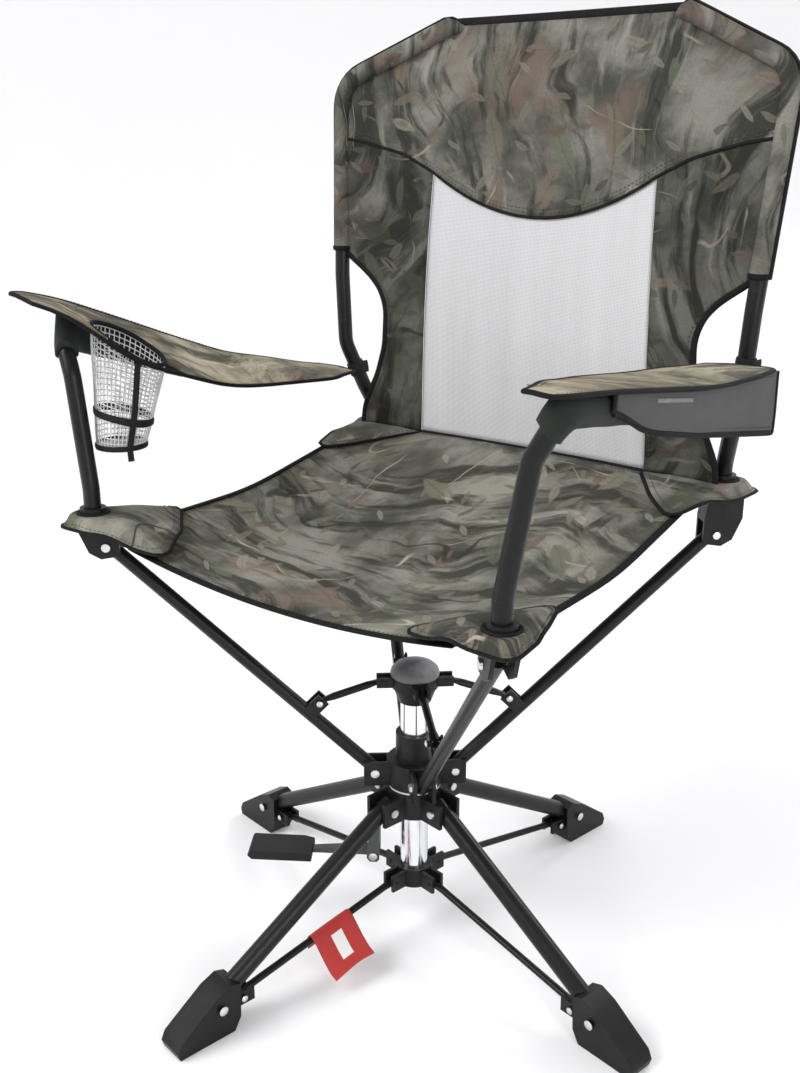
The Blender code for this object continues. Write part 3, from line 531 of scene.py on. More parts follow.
def woodland_print(name, light, warmth):
    """Printed woodland cloth: blurred bark and shade, three sizes of leaves, grass and pale twigs."""
    cloth_finish = Finish(name)
    cloth = cloth_finish.cut()
    mix, cloud, step, vector = cloth_finish.mix, cloth_finish.cloud, cloth_finish.step, cloth_finish.vector

    # light scales every colour of the print. The copies made below at different values of it are painted light and
    # shade: lighter on the parts that face up, darker on the upright back and darkest on its side strips.
    def shade(*channels):
        return tuple(channel * light * (1.0 + warmth * tint) for channel, tint in zip(channels, (1, 0.2, -1)))

    drift = cloth_finish.shifted(cloth, 7.0, 3.0, (0.07, 0.05, 0.0))
    fanned = cloth_finish.shifted(drift, 3.2, 1.0, (0.34, 0.10, 0.0), cloth)
    ground = mix(step(cloud(drift, 10.0, 5.0, 0.6), 0.36, 0.66),
                 shade(0.052, 0.054, 0.044), shade(0.215, 0.213, 0.186))
    ground = mix(step(cloud(vector("ADD", drift, (3.1, 1.7, 0.4)), 6.5, 4.0, 0.6), 0.54, 0.66) * 0.75,
                 ground, shade(0.150, 0.110, 0.090))
    bark = vector("MULTIPLY", fanned, (27.0, 4.6, 1.0))
    ground = mix(step(cloud(bark, 1.0, 6.0, 0.62), 0.47, 0.60) * 0.92, ground, shade(0.022, 0.023, 0.018))
    pale_bark = vector("MULTIPLY", vector("ADD", fanned, (0.7, 2.9, 0.0)), (23.0, 4.2, 1.0))
    ground = mix(step(cloud(pale_bark, 1.0, 6.0, 0.66), 0.55, 0.72) * 0.7, ground, shade(0.330, 0.325, 0.285))
    for scale, long, wide, present, turn, stops in (
        (13.0, 0.036, 0.0135, 0.46, 0.3, ((0.0, shade(0.060, 0.070, 0.046)), (0.35, shade(0.150, 0.165, 0.115)),
                                          (0.6, shade(0.185, 0.120, 0.088)), (0.85, shade(0.215, 0.200, 0.155)))),
        (24.0, 0.020, 0.0062, 0.42, 1.4, ((0.0, shade(0.105, 0.125, 0.080)), (0.4, shade(0.205, 0.210, 0.160)),
                                          (0.7, shade(0.130, 0.078, 0.060)), (0.9, shade(0.290, 0.262, 0.210)))),
        (37.0, 0.013, 0.0040, 0.45, 2.3, ((0.0, shade(0.040, 0.042, 0.030)), (0.45, shade(0.165, 0.140, 0.105)),
                                          (0.7, shade(0.260, 0.250, 0.200)), (0.9, shade(0.090, 0.105, 0.065)))),
    ):
        mask, own, vein = leaves(cloth_finish, cloth, scale, long, wide, present, turn)
        tint = cloth_finish.node("ShaderNodeValToRGB", {"stops": stops}, {0: own})
        tint = mix(cloud(cloth, 160.0, 4.0, 0.7), mix(0.45, tint, shade(0.05, 0.05, 0.04)), tint)
        tint = mix((1.0 - vein) * 0.5, tint, shade(0.045, 0.042, 0.032))
        ground = mix(mask * 0.72, ground, tint)
    for squeeze, offset, colour, width in (
        ((9.0, 2.6, 1.0), (0.2, 0.9, 3.0), shade(0.380, 0.345, 0.275), 0.0048),
        ((3.4, 8.0, 1.0), (5.1, 0.4, 1.0), shade(0.280, 0.240, 0.185), 0.0042),
        ((6.0, 6.0, 1.0), (1.3, 7.7, 2.0), shade(0.018, 0.018, 0.014), 0.0075),
    ):
        field = cloud(vector("MULTIPLY", vector("ADD", drift, offset), squeeze), 1.0, 2.0, 0.4)
        here = step(cloud(vector("ADD", cloth, offset), 13.0, 2.0), 0.52, 0.64)
        twig = (1.0 - step(abs(field - 0.5), width * 0.4, width)) * here
        ground = mix(twig * 0.85, ground, colour)
    speck = cloud(cloth, 420.0, 3.0, 0.7)
    ground = mix(0.75, ground, mix(1.0, ground, mix(speck, (0.55, 0.55, 0.55), (1.48, 1.48, 1.48)), "MULTIPLY"))
    weave = cloth_weave(cloth_finish, cloth, 0.0021)
    faded = step(cloud(cloth, 5.0, 3.0), 0.42, 0.75)
    cloth_finish.surface({
        "Base Color": ground,
        "Roughness": weave * 0.12 + faded * 0.06 + 0.70,
        "Specular IOR Level": 0.16,
        "Sheen Weight": 0.05,
        "Sheen Roughness": 0.45,
        "Sheen Tint": (0.80, 0.80, 0.78, 1.0),
    }, weave, 0.00034)
    return cloth_finish


def plain_cloth(name, colour, pitch, roughness=0.82):
    """Plain woven polyester with faint uneven dyeing."""
    plain = Finish(name)
    cloth = plain.cut()
    weave = cloth_weave(plain, cloth, pitch)
    cloudy = plain.cloud(cloth, 28.0, 4.0, 0.6)
    plain.surface({
        "Base Color": plain.mix(cloudy * 0.7 + weave * 0.3, tuple(0.72 * c for c in colour),
                                tuple(1.28 * c + 0.002 for c in colour)),
        "Roughness": weave * 0.10 + (roughness - 0.04),
        "Specular IOR Level": 0.18,
        "Sheen Weight": 0.06,
        "Sheen Roughness": 0.5,
        "Sheen Tint": (0.7, 0.7, 0.7, 1.0),
    }, weave, 0.0003)
    return plain


def black_tape(name, colour):
    """Ribbed polyester binding tape."""
    tape = Finish(name)
    place = tape.here()
    rib = tape.cloud(place, 1500.0, 2.0, 0.5)
    rubbed = tape.step(tape.cloud(place, 70.0, 5.0, 0.7), 0.52, 0.78)
    tape.surface({
        "Base Color": tape.mix(rubbed * 0.5, colour, tuple(2.2 * c + 0.008 for c in colour)),
        "Roughness": rib * 0.14 + 0.70,
        "Specular IOR Level": 0.14,
    }, rib, 0.0004)
    return tape


# The seat's copy of the print is lighter than the back's: painted light on the upturned seat.
seat_print = woodland_print("seat_print", 1.16, 0.03)
under_cloth = plain_cloth("under_cloth", (0.030, 0.032, 0.028), 0.0016)
edge_tape = black_tape("edge_tape", (0.0075, 0.0075, 0.0075))
thread = black_tape("sewing_thread", (0.055, 0.056, 0.048))


def lay_print(shape, pattern):
    """Gives every corner of a shape its place on the cloth's flat pattern."""
    layer = shape.loops.layers.uv.new("cloth")
    for face in shape.faces:
        for loop in face.loops:
            loop[layer].uv = pattern(loop.vert)


def cloth_grid(across, along, place, pattern):
    """A grid of squares laid out by place, its print laid out by pattern in metres."""
    shape = bmesh.new()
    bmesh.ops.create_grid(shape, x_segments=across, y_segments=along, size=0.5)
    spots = {vertex: (vertex.co.x + 0.5, vertex.co.y + 0.5) for vertex in shape.verts}
    lay_print(shape, lambda vertex: pattern(*spots[vertex]))
    for vertex, spot in spots.items():
        vertex.co = place(*spot)
    return shape


def run_along(shape, line, facings, wide, deep, sides=10, closed=False):
    """Extrude an oval ring along a line, wide across the cloth and deep through it. It faces one way
    all along, or its own way at each point."""
    line = [Vector(point) for point in line]
    facings = [facings] * len(line) if isinstance(facings, tuple) else facings
    frames = []
    for number, here in enumerate(line):
        before = line[number - 1] if number else (line[-2] if closed else here)
        after = line[number + 1] if number + 1 < len(line) else (line[1] if closed else here)
        tangent = (after - before).normalized()
        facing = Vector(facings[number])
        side = facing.cross(tangent).normalized()
        facing = tangent.cross(side)
        turn = Matrix((side, facing, tangent)).transposed().to_4x4()
        frames.append(Matrix.Translation(here) @ turn)
    ring = bmesh.ops.create_circle(shape, cap_ends=True, segments=sides, radius=0.5)["verts"]
    bmesh.ops.transform(shape, matrix=frames[0] @ Matrix.Diagonal((wide, deep, 1.0, 1.0)), verts=ring)
    face = ring[0].link_faces[0]
    made, first = [face], face
    for before, after in zip(frames, frames[1:]):
        grown = bmesh.ops.extrude_face_region(shape, geom=[face])["geom"]
        if face is not first:
            bmesh.ops.delete(shape, geom=[face], context="FACES_ONLY")
        face = [item for item in grown if isinstance(item, bmesh.types.BMFace)][0]
        points = [item for item in grown if isinstance(item, bmesh.types.BMVert)]
        bmesh.ops.transform(shape, matrix=after @ before.inverted(), verts=points)
    if closed:
        bmesh.ops.delete(shape, geom=[first, face], context="FACES_ONLY")
        bmesh.ops.remove_doubles(shape, verts=shape.verts[:], dist=1e-6)
    return shape


def paced(line, pitch):
    """Points an even pitch apart along a line, with the direction at each."""
    spots, carried = [], pitch / 2
    for start, end in zip(line, line[1:]):
        run = Vector(end) - Vector(start)
        while carried < run.length:
            spots.append((Vector(start) + run * (carried / run.length), run.normalized()))
            carried += pitch
        carried -= run.length
    return spots


def sew(shape, line, facing, pitch=0.0052, length=0.0036, width=0.0009):
    """A row of raised stitches."""
    for here, along in paced(line, pitch):
        side = Vector(facing).cross(along).normalized()
        turn = Matrix((along, side, along.cross(side))).transposed().to_4x4()
        size = Matrix.Diagonal((length / 2, width / 2, width / 2, 1.0))
        bmesh.ops.create_icosphere(shape, subdivisions=1, radius=1.0, matrix=Matrix.Translation(here) @ turn @ size)


def sewn_piece(name, rows, body):
    """All the stitches of one piece."""
    shape = bmesh.new()
    for line, facing in rows:
        sew(shape, line, facing)
    return add_piece(name, shape, thread, body, 180.0)


def tape_piece(name, shape, body, finish=edge_tape):
    """All the binding tape of one piece, or a strip of webbing."""
    return add_piece(name, shape, finish, body, 60.0)


def shift_line(points, *step):
    """A line shifted by a step."""
    return [point + Vector(step) for point in points]


def crumple(pieces):
    """Gives each cloth piece a mesh of its own."""
    for piece in pieces:
        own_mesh(piece)


def seat_spot(u, v):
    x = (2 * u - 1) * between(SEAT_HALF, SEAT_FRONT + (SEAT_REAR - SEAT_FRONT) * v)
    return x, SEAT_FRONT + (rear_line(x) - SEAT_FRONT) * v


whole_seat = cloth_grid(
    44, 36, lambda u, v: seat_place(*seat_spot(u, v)),
    lambda u, v: ((SEAT_REAR - SEAT_FRONT) * v + 0.37, (2 * u - 1) * 0.243 + 0.61),
)
bmesh.ops.bisect_plane(
    whole_seat, geom=whole_seat.verts[:] + whole_seat.edges[:] + whole_seat.faces[:],
    plane_co=(0, 0, 0), plane_no=(0, 1, 0), dist=1e-6,
)
for vertex in whole_seat.verts:
    vertex.co.z += CLOTH_THICKNESS / 2
bmesh.ops.solidify(whole_seat, geom=whole_seat.faces[:], thickness=CLOTH_THICKNESS)
bmesh.ops.recalc_face_normals(whole_seat, faces=whole_seat.faces[:])
whole_seat.normal_update()
for face in whole_seat.faces:
    face.material_index = 0 if face.normal.z > 0.2 else 1
seat_normals = {tuple(round(c, 6) for c in vertex.co): vertex.normal.copy() for vertex in whole_seat.verts}


def half_seat(name, side, body, node):
    """One half of the whole seat, shaded as if it were still in one piece."""
    shape = whole_seat.copy()
    bmesh.ops.bisect_plane(
        shape, geom=shape.verts[:] + shape.edges[:] + shape.faces[:], plane_co=(0, 0, 0),
        plane_no=(0, side, 0), dist=1e-6, clear_outer=True,
    )
    rim = [edge for edge in shape.edges if len(edge.link_faces) == 1]
    bmesh.ops.holes_fill(shape, edges=rim, sides=0)
    piece = add_piece(name, shape, (seat_print, under_cloth), body, 180.0)
    normals = [
        seat_normals.get(tuple(round(c, 6) for c in vertex.co), vertex.normal) for vertex in piece.data.vertices
    ]
    piece.data.normals_split_custom_set_from_vertices(normals)
    crumple([piece])
    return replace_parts(piece, node)


seat_front = half_seat("seat_cloth_front", 1, "front_sling", "seat_front_sling")
seat_rear = half_seat("seat_cloth_rear", -1, "rear_sling", "seat_rear_sling")
whole_seat.free()


def seat_rim(start, end, steps, inset=0.0):
    """Points along a straight run of the seat's edge."""
    return shift_line([seat_place((start[0] + (end[0] - start[0]) * step / steps) * (1.0 - inset),
                             start[1] + (end[1] - start[1]) * step / steps) for step in range(steps + 1)],
                 0, 0, CLOTH_THICKNESS / 2)


for half, start, end, body, cloth in (
    ("front", (0.2406, 0.0), (0.2430, -0.1700), "front_sling", seat_front),
    ("rear", (0.2406, 0.0), (0.2380, 0.1500), "rear_sling", seat_rear),
):
    shape, rows = bmesh.new(), []
    for side in (-1, 1):
        line = seat_rim((side * start[0], start[1]), (side * end[0], end[1]), 14)
        run_along(shape, line, (side * 0.10, 0, 1), 0.0085, 0.0034)
        inner = seat_rim((side * start[0], start[1]), (side * end[0], end[1]), 14, 0.032)
        rows.append((inner, (0, 0, 1)))
    if half == "front":
        line = seat_rim((-0.2050, SEAT_FRONT), (0.2050, SEAT_FRONT), 30)
        run_along(shape, line, (0, -0.10, 1), 0.0085, 0.0034)
        rows.append((shift_line(line, 0, 0.0075, 0), (0, 0, 1)))
    else:
        line = [seat_place(x, rear_line(x)) for x in [-0.2020 + 0.0101 * k for k in range(41)]]
        run_along(shape, line, (0, -0.5, 1), 0.0070, 0.0042)
        rows.append((shift_line(line, 0, -0.0060, 0), (0, 0, 1)))
    tape = tape_piece(f"seat_tape_{half}", shape, body)
    stitches = sewn_piece(f"seat_stitches_{half}", rows, body)
    crumple([tape, stitches])
    length = abs(SEAT_FRONT if half == "front" else SEAT_REAR)
    corners = CORNERS[:2] if half == "front" else CORNERS[2:]
    round(length + SEAT_HEM, 3)
    ["corner_bracket_" + corner for corner in corners]

# Corner pockets: a doubled patch of the same cloth at each corner of the seat. It carries the load over
# the corner block, is bound in tape on its outer edges, and the upright stands through an eyelet in it.
POCKET_OUTLINE = {
    "front": ((0.1500, -0.2160), (0.2380, -0.2450), (0.2840, -0.2480), (0.2770, -0.2000), (0.2440, -0.1100),
              (0.1950, -0.1550)),
    "back": ((0.1500, 0.2120), (0.2230, 0.2560), (0.2720, 0.2580), (0.2700, 0.2120), (0.2395, 0.1050),
             (0.1950, 0.1500)),
}
POCKET_POST = {"front": (0.2560, -0.2200, 0.5099), "back": (0.2410, 0.2280, 0.5340)}
EYELET_RADIUS, EYELET_TAPE = 0.0148, 0.0152
POCKET_POINTS, POCKET_RINGS = 48, 7


def rounded_line(corners, bend, steps=6):
    """A line through corners that are rounded to a bend radius."""
    points = [Vector(corners[0])]
    for before, corner, after in zip(corners, corners[1:], corners[2:]):
        before, corner, after = Vector(before), Vector(corner), Vector(after)
        inwards, outwards = (before - corner).normalized(), (after - corner).normalized()
        half = inwards.angle(outwards) / 2
        reach = min(bend / math.tan(half), 0.45 * (before - corner).length, 0.45 * (after - corner).length)
        radius = reach * math.tan(half)
        centre = corner + (inwards + outwards).normalized() * (radius / math.sin(half))
        first = (corner + inwards * reach - centre).normalized()
        last = (corner + outwards * reach - centre).normalized()
        for step in range(steps + 1):
            points.append(centre + first.slerp(last, step / steps) * radius)
    points.append(Vector(corners[-1]))
    return points


def even_points(line, count):
    """The same line again as a number of evenly spaced points."""
    lengths = [0.0]
    for start, end in zip(line, line[1:]):
        lengths.append(lengths[-1] + (Vector(end) - Vector(start)).length)
    points = []
    for number in range(count):
        wanted, stretch = lengths[-1] * number / (count - 1), 0
        while stretch < len(line) - 2 and lengths[stretch + 1] < wanted:
            stretch += 1
        share = (wanted - lengths[stretch]) / max(lengths[stretch + 1] - lengths[stretch], 1e-9)
        points.append(Vector(line[stretch]).lerp(Vector(line[stretch + 1]), share))
    return points


def full_turn(steps):
    """Angles all the way round, ending where they start."""
    return [2 * math.pi * k / steps for k in range(steps + 1)]


def grow_rings(shape, edges, goals, steps, place):
    """Extrude a run of edges step by step. A new point takes over the goal of the one it grew from,
    and place says where that puts it."""
    for number in range(1, steps + 1):
        grown = bmesh.ops.extrude_edge_only(shape, edges=edges)["geom"]
        fresh = [item for item in grown if isinstance(item, bmesh.types.BMVert)]
        edges = [item for item in grown
                 if isinstance(item, bmesh.types.BMEdge) and all(v in fresh for v in item.verts)]
        handed_on = {
            vertex: goals[min(goals, key=lambda old: (old.co - vertex.co).length_squared)] for vertex in fresh
        }
        for vertex, goal in handed_on.items():
            vertex.co = place(goal, number)
        goals = handed_on


for corner in CORNERS:
    end, side = corner.split("_")
    side = 1.0 if side == "right" else -1.0
    post_x, post_y, post_z = POCKET_POST[end]
    loop = [Vector((side * x, y, 0.0)) for x, y in POCKET_OUTLINE[end]]
    start = (loop[-1] + loop[0]) / 2
    outline = even_points(rounded_line([start, *loop, start], 0.012), POCKET_POINTS + 1)[:-1]
    centre = Vector((side * post_x, post_y, 0.0))

    def pocket_height(point, share, post_z=post_z, centre=centre):
        """Level over the corner block, then down to the seat, or down over the block's outer edges."""
        far = math.hypot(point.x - centre.x, point.y - centre.y)
        low = seat_place(min(max(point.x, -0.2430), 0.2430), min(max(point.y, -0.2150), 0.1970)).z + 0.0024
        low += (post_z - 0.0120 - low) * (1.0 - rise(far, 0.038, 0.080))
        return post_z + (low - post_z) * rise(share, 0.0135 / far, 1.0 + 0.4 * rise(far, 0.038, 0.080))

    def pocket_place(goal, number, centre=centre, height=pocket_height):
        share = number / POCKET_RINGS
        spot = (centre + (goal - centre).normalized() * EYELET_RADIUS).lerp(goal, share)
        return Vector((spot.x, spot.y, height(goal, share)))

    shape = bmesh.new()
    ring = bmesh.ops.create_circle(shape, cap_ends=False, segments=POCKET_POINTS, radius=EYELET_RADIUS)["verts"]
    for vertex, point in zip(ring, outline):
        vertex.co = centre + (point - centre).normalized() * EYELET_RADIUS
        vertex.co.z = post_z
    grow_rings(shape, shape.edges[:], dict(zip(ring, outline)), POCKET_RINGS, pocket_place)
    bmesh.ops.recalc_face_normals(shape, faces=shape.faces[:])
    if sum(face.normal.z for face in shape.faces) < 0:
        bmesh.ops.reverse_faces(shape, faces=shape.faces[:])
    lay_print(shape, lambda vertex: (vertex.co.y + 0.585, vertex.co.x + 0.61))
    body = f"post_{corner}"
    pocket = add_piece(f"corner_pocket_{corner}", shape, (seat_print, under_cloth), body, 180.0)
    wall = pocket.modifiers.new("thickness", "SOLIDIFY")
    wall.thickness, wall.offset, wall.material_offset = 0.0022, -1.0, 1
    rim = [point.copy() for point in (*outline, outline[0])]
    for point in rim:
        point.z = pocket_height(point, 1.0) - 0.0010
    tape_shape = bmesh.new()
    run_along(tape_shape, rim, (0, 0, 1), 0.0050, 0.0032, closed=True)
    eyelet = [Vector((centre.x + EYELET_TAPE * math.cos(a), centre.y + EYELET_TAPE * math.sin(a), post_z + 0.0004))
              for a in full_turn(32)]
    run_along(tape_shape, eyelet, (0, 0, 1), 0.0046, 0.0034, closed=True)
    pocket_tape = tape_piece(f"corner_tape_{corner}", tape_shape, body)
    inner = [centre + (point - centre) * 0.92 for point in rim]
    for point, goal in zip(inner, rim):
        far = math.hypot(goal.x - centre.x, goal.y - centre.y)
        point.z = pocket_height(goal, (0.92 * far - EYELET_RADIUS) / (far - EYELET_RADIUS)) + 0.0006
    box_row = sewn_piece(f"corner_stitches_{corner}", [(inner, (0, 0, 1))], body)

# Backrest: printed cloth in three panels. A head panel with a curved lower seam spans the uprights, and
# a strip down each side of the mesh window ties it to the seat. Sleeves in its side edges hold the tubes.
BACK_DEPTH = (
    (0.5345, 0.2020), (0.6500, 0.1990), (0.7500, 0.2010), (0.8440, 0.2080), (0.9450, 0.2200), (1.0050, 0.2570),
)
MESH_HALF = ((0.5345, 0.1550), (0.8440, 0.1450))
STRIP_EDGE = (
    (0.5330, 0.2430), (0.5560, 0.2400), (0.5780, 0.2300), (0.6000, 0.2190), (0.6350, 0.2085), (0.6800, 0.2062),
    (0.7000, 0.2120), (0.7150, 0.2220), (0.7300, 0.2400), (0.7420, 0.2590), (0.7500, 0.2700),
)
OUTER_SEAM = ((0.1450, 0.8440), (0.1850, 0.8630), (0.2400, 0.8770), (0.2750, 0.8820))
BACK_BOTTOM, SLEEVE_BOTTOM = 0.5330, 0.7500
SLEEVE_RADIUS = 0.0102
UPRIGHT = rounded_line(
    ((0.265, 0.198, 0.635), (0.270, 0.199, 0.720), (0.2826, 0.2183, 0.945), (0.150, 0.257, 1.005)), 0.04, 8)
CORNER_POINT = UPRIGHT[-6]
RISING = [(point.z, point.x) for point in UPRIGHT[:-5]]
SLOPING = sorted((point.x, point.z) for point in UPRIGHT[-6:])


def upright_x(height):
    return between(RISING, height)


def top_height(x):
    """The top edge: level between the tube ends, then down along the tubes."""
    return 1.0070 if abs(x) < SLOPING[0][0] else between(SLOPING, abs(x)) + 0.0010


def seam_height(x):
    x = abs(x)
    return 0.7970 + 0.0470 * (x / 0.145) ** 2 if x < 0.145 else between(OUTER_SEAM, x)


BACK_PLEATS = (
    ((-0.14, 0.845), (-0.05, 0.985), 0.010, 0.0034), ((0.14, 0.845), (0.04, 0.985), 0.010, 0.0034),
    ((-0.13, 0.835), (-0.24, 0.93), 0.011, 0.0032), ((0.13, 0.835), (0.25, 0.93), 0.011, 0.0032),
    ((-0.06, 0.815), (-0.015, 0.96), 0.009, -0.0028), ((0.055, 0.815), (0.09, 0.97), 0.009, -0.0028),
    ((-0.27, 0.87), (-0.14, 0.90), 0.010, 0.0030), ((0.27, 0.87), (0.15, 0.89), 0.010, 0.0030),
    ((-0.26, 0.775), (-0.16, 0.835), 0.009, 0.0032), ((0.26, 0.775), (0.16, 0.835), 0.009, 0.0032),
    ((-0.18, 0.57), (-0.185, 0.74), 0.008, 0.0018), ((0.18, 0.57), (0.185, 0.74), 0.008, 0.0018),
    ((0.0, 0.88), (0.012, 1.0), 0.012, 0.0024),
)


def back_place(x, height):
    """The hollow of the backrest, with drawn folds that die away at its edges and at the window."""
    sag = 0.0170 * (1.0 - min(abs(x) / 0.27, 1.0) ** 2)
    depth = eased(BACK_DEPTH, height, 0.035) + sag
    in_window = height < seam_height(x) and abs(x) < between(MESH_HALF, height)
    clear = max(height - seam_height(x), abs(x) - between(MESH_HALF, height))
    edge = min(upright_x(height) - abs(x), top_height(x) - height)
    calm = 0.0 if in_window else rise(clear, 0.0, 0.03) * rise(edge, 0.0, 0.04)
    ripple = 0.0030 * noise.noise((x * 7.0, 3.1, height * 4.5)) + 0.0013 * noise.noise((x * 21.0, height * 9.0, 7.7))
    ripple += sum(pleat(x, height, *fold) for fold in BACK_PLEATS)
    return Vector((x, depth - calm * ripple, height))


# The back panel's copy of the print is darker than the seat's, and the side strips' copy darker still: painted shade.
back_print = woodland_print("back_print", 0.84, 0.01)
shaded_strip_print = woodland_print("shaded_strip_print", 0.50, 0.0)


def back_pattern(x, height):
    return (x + 2.35, height + 0.22)


def thicken(piece, thickness=CLOTH_THICKNESS, offset=0.0):
    wall = piece.modifiers.new("thickness", "SOLIDIFY")
    wall.thickness, wall.offset, wall.material_offset = thickness, offset, 1
    return piece


def head_spot(u, v):
    across = 2 * u - 1
    widest = CORNER_POINT.x
    bottom, top = seam_height(across * 0.274), top_height(across * widest)
    height = bottom + (top - bottom) * v
    return across * min(upright_x(height), widest) if height < CORNER_POINT.z else across * widest, height


def strip_edge(height):
    return upright_x(height) if height >= SLEEVE_BOTTOM else eased(STRIP_EDGE, height, 0.008)


def strip_spot(side, u, v):
    """From the window's edge out to the sleeve or the strip's free edge, u across and v up."""
    guess = 0.145 + 0.13 * u
    height = BACK_BOTTOM + (seam_height(guess) - BACK_BOTTOM) * v
    inner = between(MESH_HALF, height)
    across = inner + (strip_edge(height) - inner) * u
    if v == 1.0:
        height = seam_height(across)
    return side * across, height


def window_spot(u, v):
    across = 2 * u - 1
    top = seam_height(across * 0.145)
    height = BACK_BOTTOM + (top - BACK_BOTTOM) * v
    return across * between(MESH_HALF, height), height


def flip_to(shape, direction):
    """Turns a sheet's faces so that its printed side looks the given way."""
    shape.normal_update()
    if sum(face.normal.dot(Vector(direction)) for face in shape.faces) < 0:
        bmesh.ops.reverse_faces(shape, faces=shape.faces[:])


def back_panel(name, across, along, spot, finish):
    shape = cloth_grid(across, along, lambda u, v: back_place(*spot(u, v)), lambda u, v: back_pattern(*spot(u, v)))
    flip_to(shape, (0, -1, 0))
    piece = thicken(add_piece(name, shape, finish, "rear_sling", 180.0))
    crumple([piece])
    return piece


head_panel = back_panel("back_head_panel", 64, 26, head_spot, (back_print, under_cloth))
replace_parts(head_panel, "back_sling")
# The side strips wear the darker copy of the print, which is painted shade.
strips = [
    back_panel(f"back_strip_{name}", 14, 60, lambda u, v, side=side: strip_spot(side, u, v), (shaded_strip_print, under_cloth))
    for name, side in (("left", -1), ("right", 1))
]


def upright_path(side, count=40):
    """The middle of the sleeve, from its lower end to the end of the tube."""
    line = [Vector((upright_x(SLEEVE_BOTTOM), 0.2016, SLEEVE_BOTTOM))]
    line += [point for point in UPRIGHT if point.z > SLEEVE_BOTTOM]
    line.append(line[-1] + Vector((-0.0240, 0.0110, -0.0040)))
    return [Vector((side * point.x, point.y, point.z)) for point in even_points(line, count)]


for name, side in (("left", -1), ("right", 1)):
    shape = bmesh.new()
    path = upright_path(side)
    run_along(shape, path, (0, -1, 0.1), 2 * SLEEVE_RADIUS, 2 * SLEEVE_RADIUS, sides=20)
    for vertex in shape.verts:
        tug = 0.0007 * noise.noise((vertex.co.x * 30.0, vertex.co.y * 60.0, vertex.co.z * 55.0))
        middle = min(path, key=lambda point: (point - vertex.co).length_squared)
        fade = rise(path.index(middle), 36, 39)
        vertex.co += (vertex.co - middle).normalized() * tug
        vertex.co = vertex.co.lerp(middle + Vector((0, 0.0040, 0)), 0.75 * fade)
    lay_print(shape, lambda vertex: back_pattern(vertex.co.x + (vertex.co.y - 0.2) * 0.8, vertex.co.z))
    add_piece(f"back_sleeve_{name}", shape, back_print, f"post_back_{name}", 70.0)

for name, side in (("left", -1), ("right", 1)):
    path = upright_path(side, 48)
    rim = []
    for number, point in enumerate(path):
        ahead, behind = path[min(number + 1, 47)], path[max(number - 1, 0)]
        outward = (ahead - behind).cross(Vector((0, -1, 0.1))).normalized() * (-side)
        if outward.dot(point - Vector((0, point.y, 0.80))) < 0:
            outward.negate()
        radius = SLEEVE_RADIUS * (1.0 - 0.75 * rise(number, 43, 47))
        rim.append(point + outward * (radius + 0.0006))
    shape = bmesh.new()
    run_along(shape, rim, (0, -1, 0.1), 0.0036, 0.0066)
    cuff = [path[0] + Vector(((SLEEVE_RADIUS + 0.0004) * math.cos(a), (SLEEVE_RADIUS + 0.0004) * math.sin(a), 0.002))
            for a in full_turn(20)]
    run_along(shape, cuff, (0, 0, 1), 0.0030, 0.0060, sides=8, closed=True)
    tape_piece(f"back_sleeve_tape_{name}", shape, f"post_back_{name}")

tape_shape, rows = bmesh.new(), []
top_line = even_points([back_place(x, top_height(x) + 0.0020) for x in [-0.158 + 0.0079 * k for k in range(41)]], 44)
run_along(tape_shape, top_line, (0, -1, 0.1), 0.0100, 0.0046)
rows.append((shift_line(top_line, 0, -0.0008, -0.0085), (0, -1, 0.1)))
seam_line = shift_line([back_place(x, seam_height(x)) for x in [-0.270 + 0.0090 * k for k in range(61)]], 0, -0.0010, 0)
run_along(tape_shape, seam_line, (0, -1, 0.0), 0.0034, 0.0026, sides=8)
rows += [(shift_line(seam_line, 0, 0.0002, up), (0, -1, 0.1)) for up in (0.0052, 0.0092)]
for side in (-1, 1):
    free_edge = [back_place(side * strip_edge(z), z) for z in [BACK_BOTTOM + 0.0045 * k for k in range(49)]]
    run_along(tape_shape, free_edge, (0, -1, 0.0), 0.0072, 0.0038)
    rows.append((shift_line(free_edge, -side * 0.0070, -0.0008, 0.0), (0, -1, 0.0)))
    hem = shift_line([back_place(side * (between(MESH_HALF, z) + 0.0008), z)
                      for z in [BACK_BOTTOM + 0.0077 * k for k in range(41)]], 0, -0.0008, 0)
    rows += [(shift_line(hem, side * out, 0, 0), (0, -1, 0.0)) for out in (0.0045, 0.0085)]
back_tape = tape_piece("back_tape", tape_shape, "rear_sling")
back_stitches = sewn_piece("back_stitches", rows, "rear_sling")
crumple([back_tape, back_stitches])

# Window: a panel of fine pale knitted mesh sewn in behind the head panel and between the strips.
window_mesh = Finish("window_mesh")
mesh_cloth = window_mesh.cut()
mesh_across, mesh_up = window_mesh.parts(mesh_cloth)
knit = abs(window_mesh.maths("SINE", mesh_across * (math.tau / 0.0036)) *
           window_mesh.maths("SINE", mesh_up * (math.tau / 0.0030)))
streaks = window_mesh.cloud(window_mesh.vector("MULTIPLY", mesh_cloth, (26.0, 1.6, 1.0)), 1.0, 4.0, 0.6)
window_mesh.surface({
    "Base Color": window_mesh.mix(streaks * 0.75 + knit * 0.25, (0.49, 0.49, 0.50), (0.69, 0.69, 0.70)),
    "Roughness": knit * 0.2 + 0.62,
    "Alpha": 1.0 - window_mesh.step(knit, 0.62, 0.86) * 0.55,
    "Specular IOR Level": 0.25,
}, knit, 0.0004)
shape = cloth_grid(
    40, 44,
    lambda u, v: back_place(*window_spot(u, v)) + Vector((
        0, 0.0016 + 0.0020 * math.sin(math.pi * u) * math.sin(math.pi * v) * noise.noise((u * 9.0, v * 2.0, 4.0)), 0)),
    lambda u, v: back_pattern(*window_spot(u, v)),
)
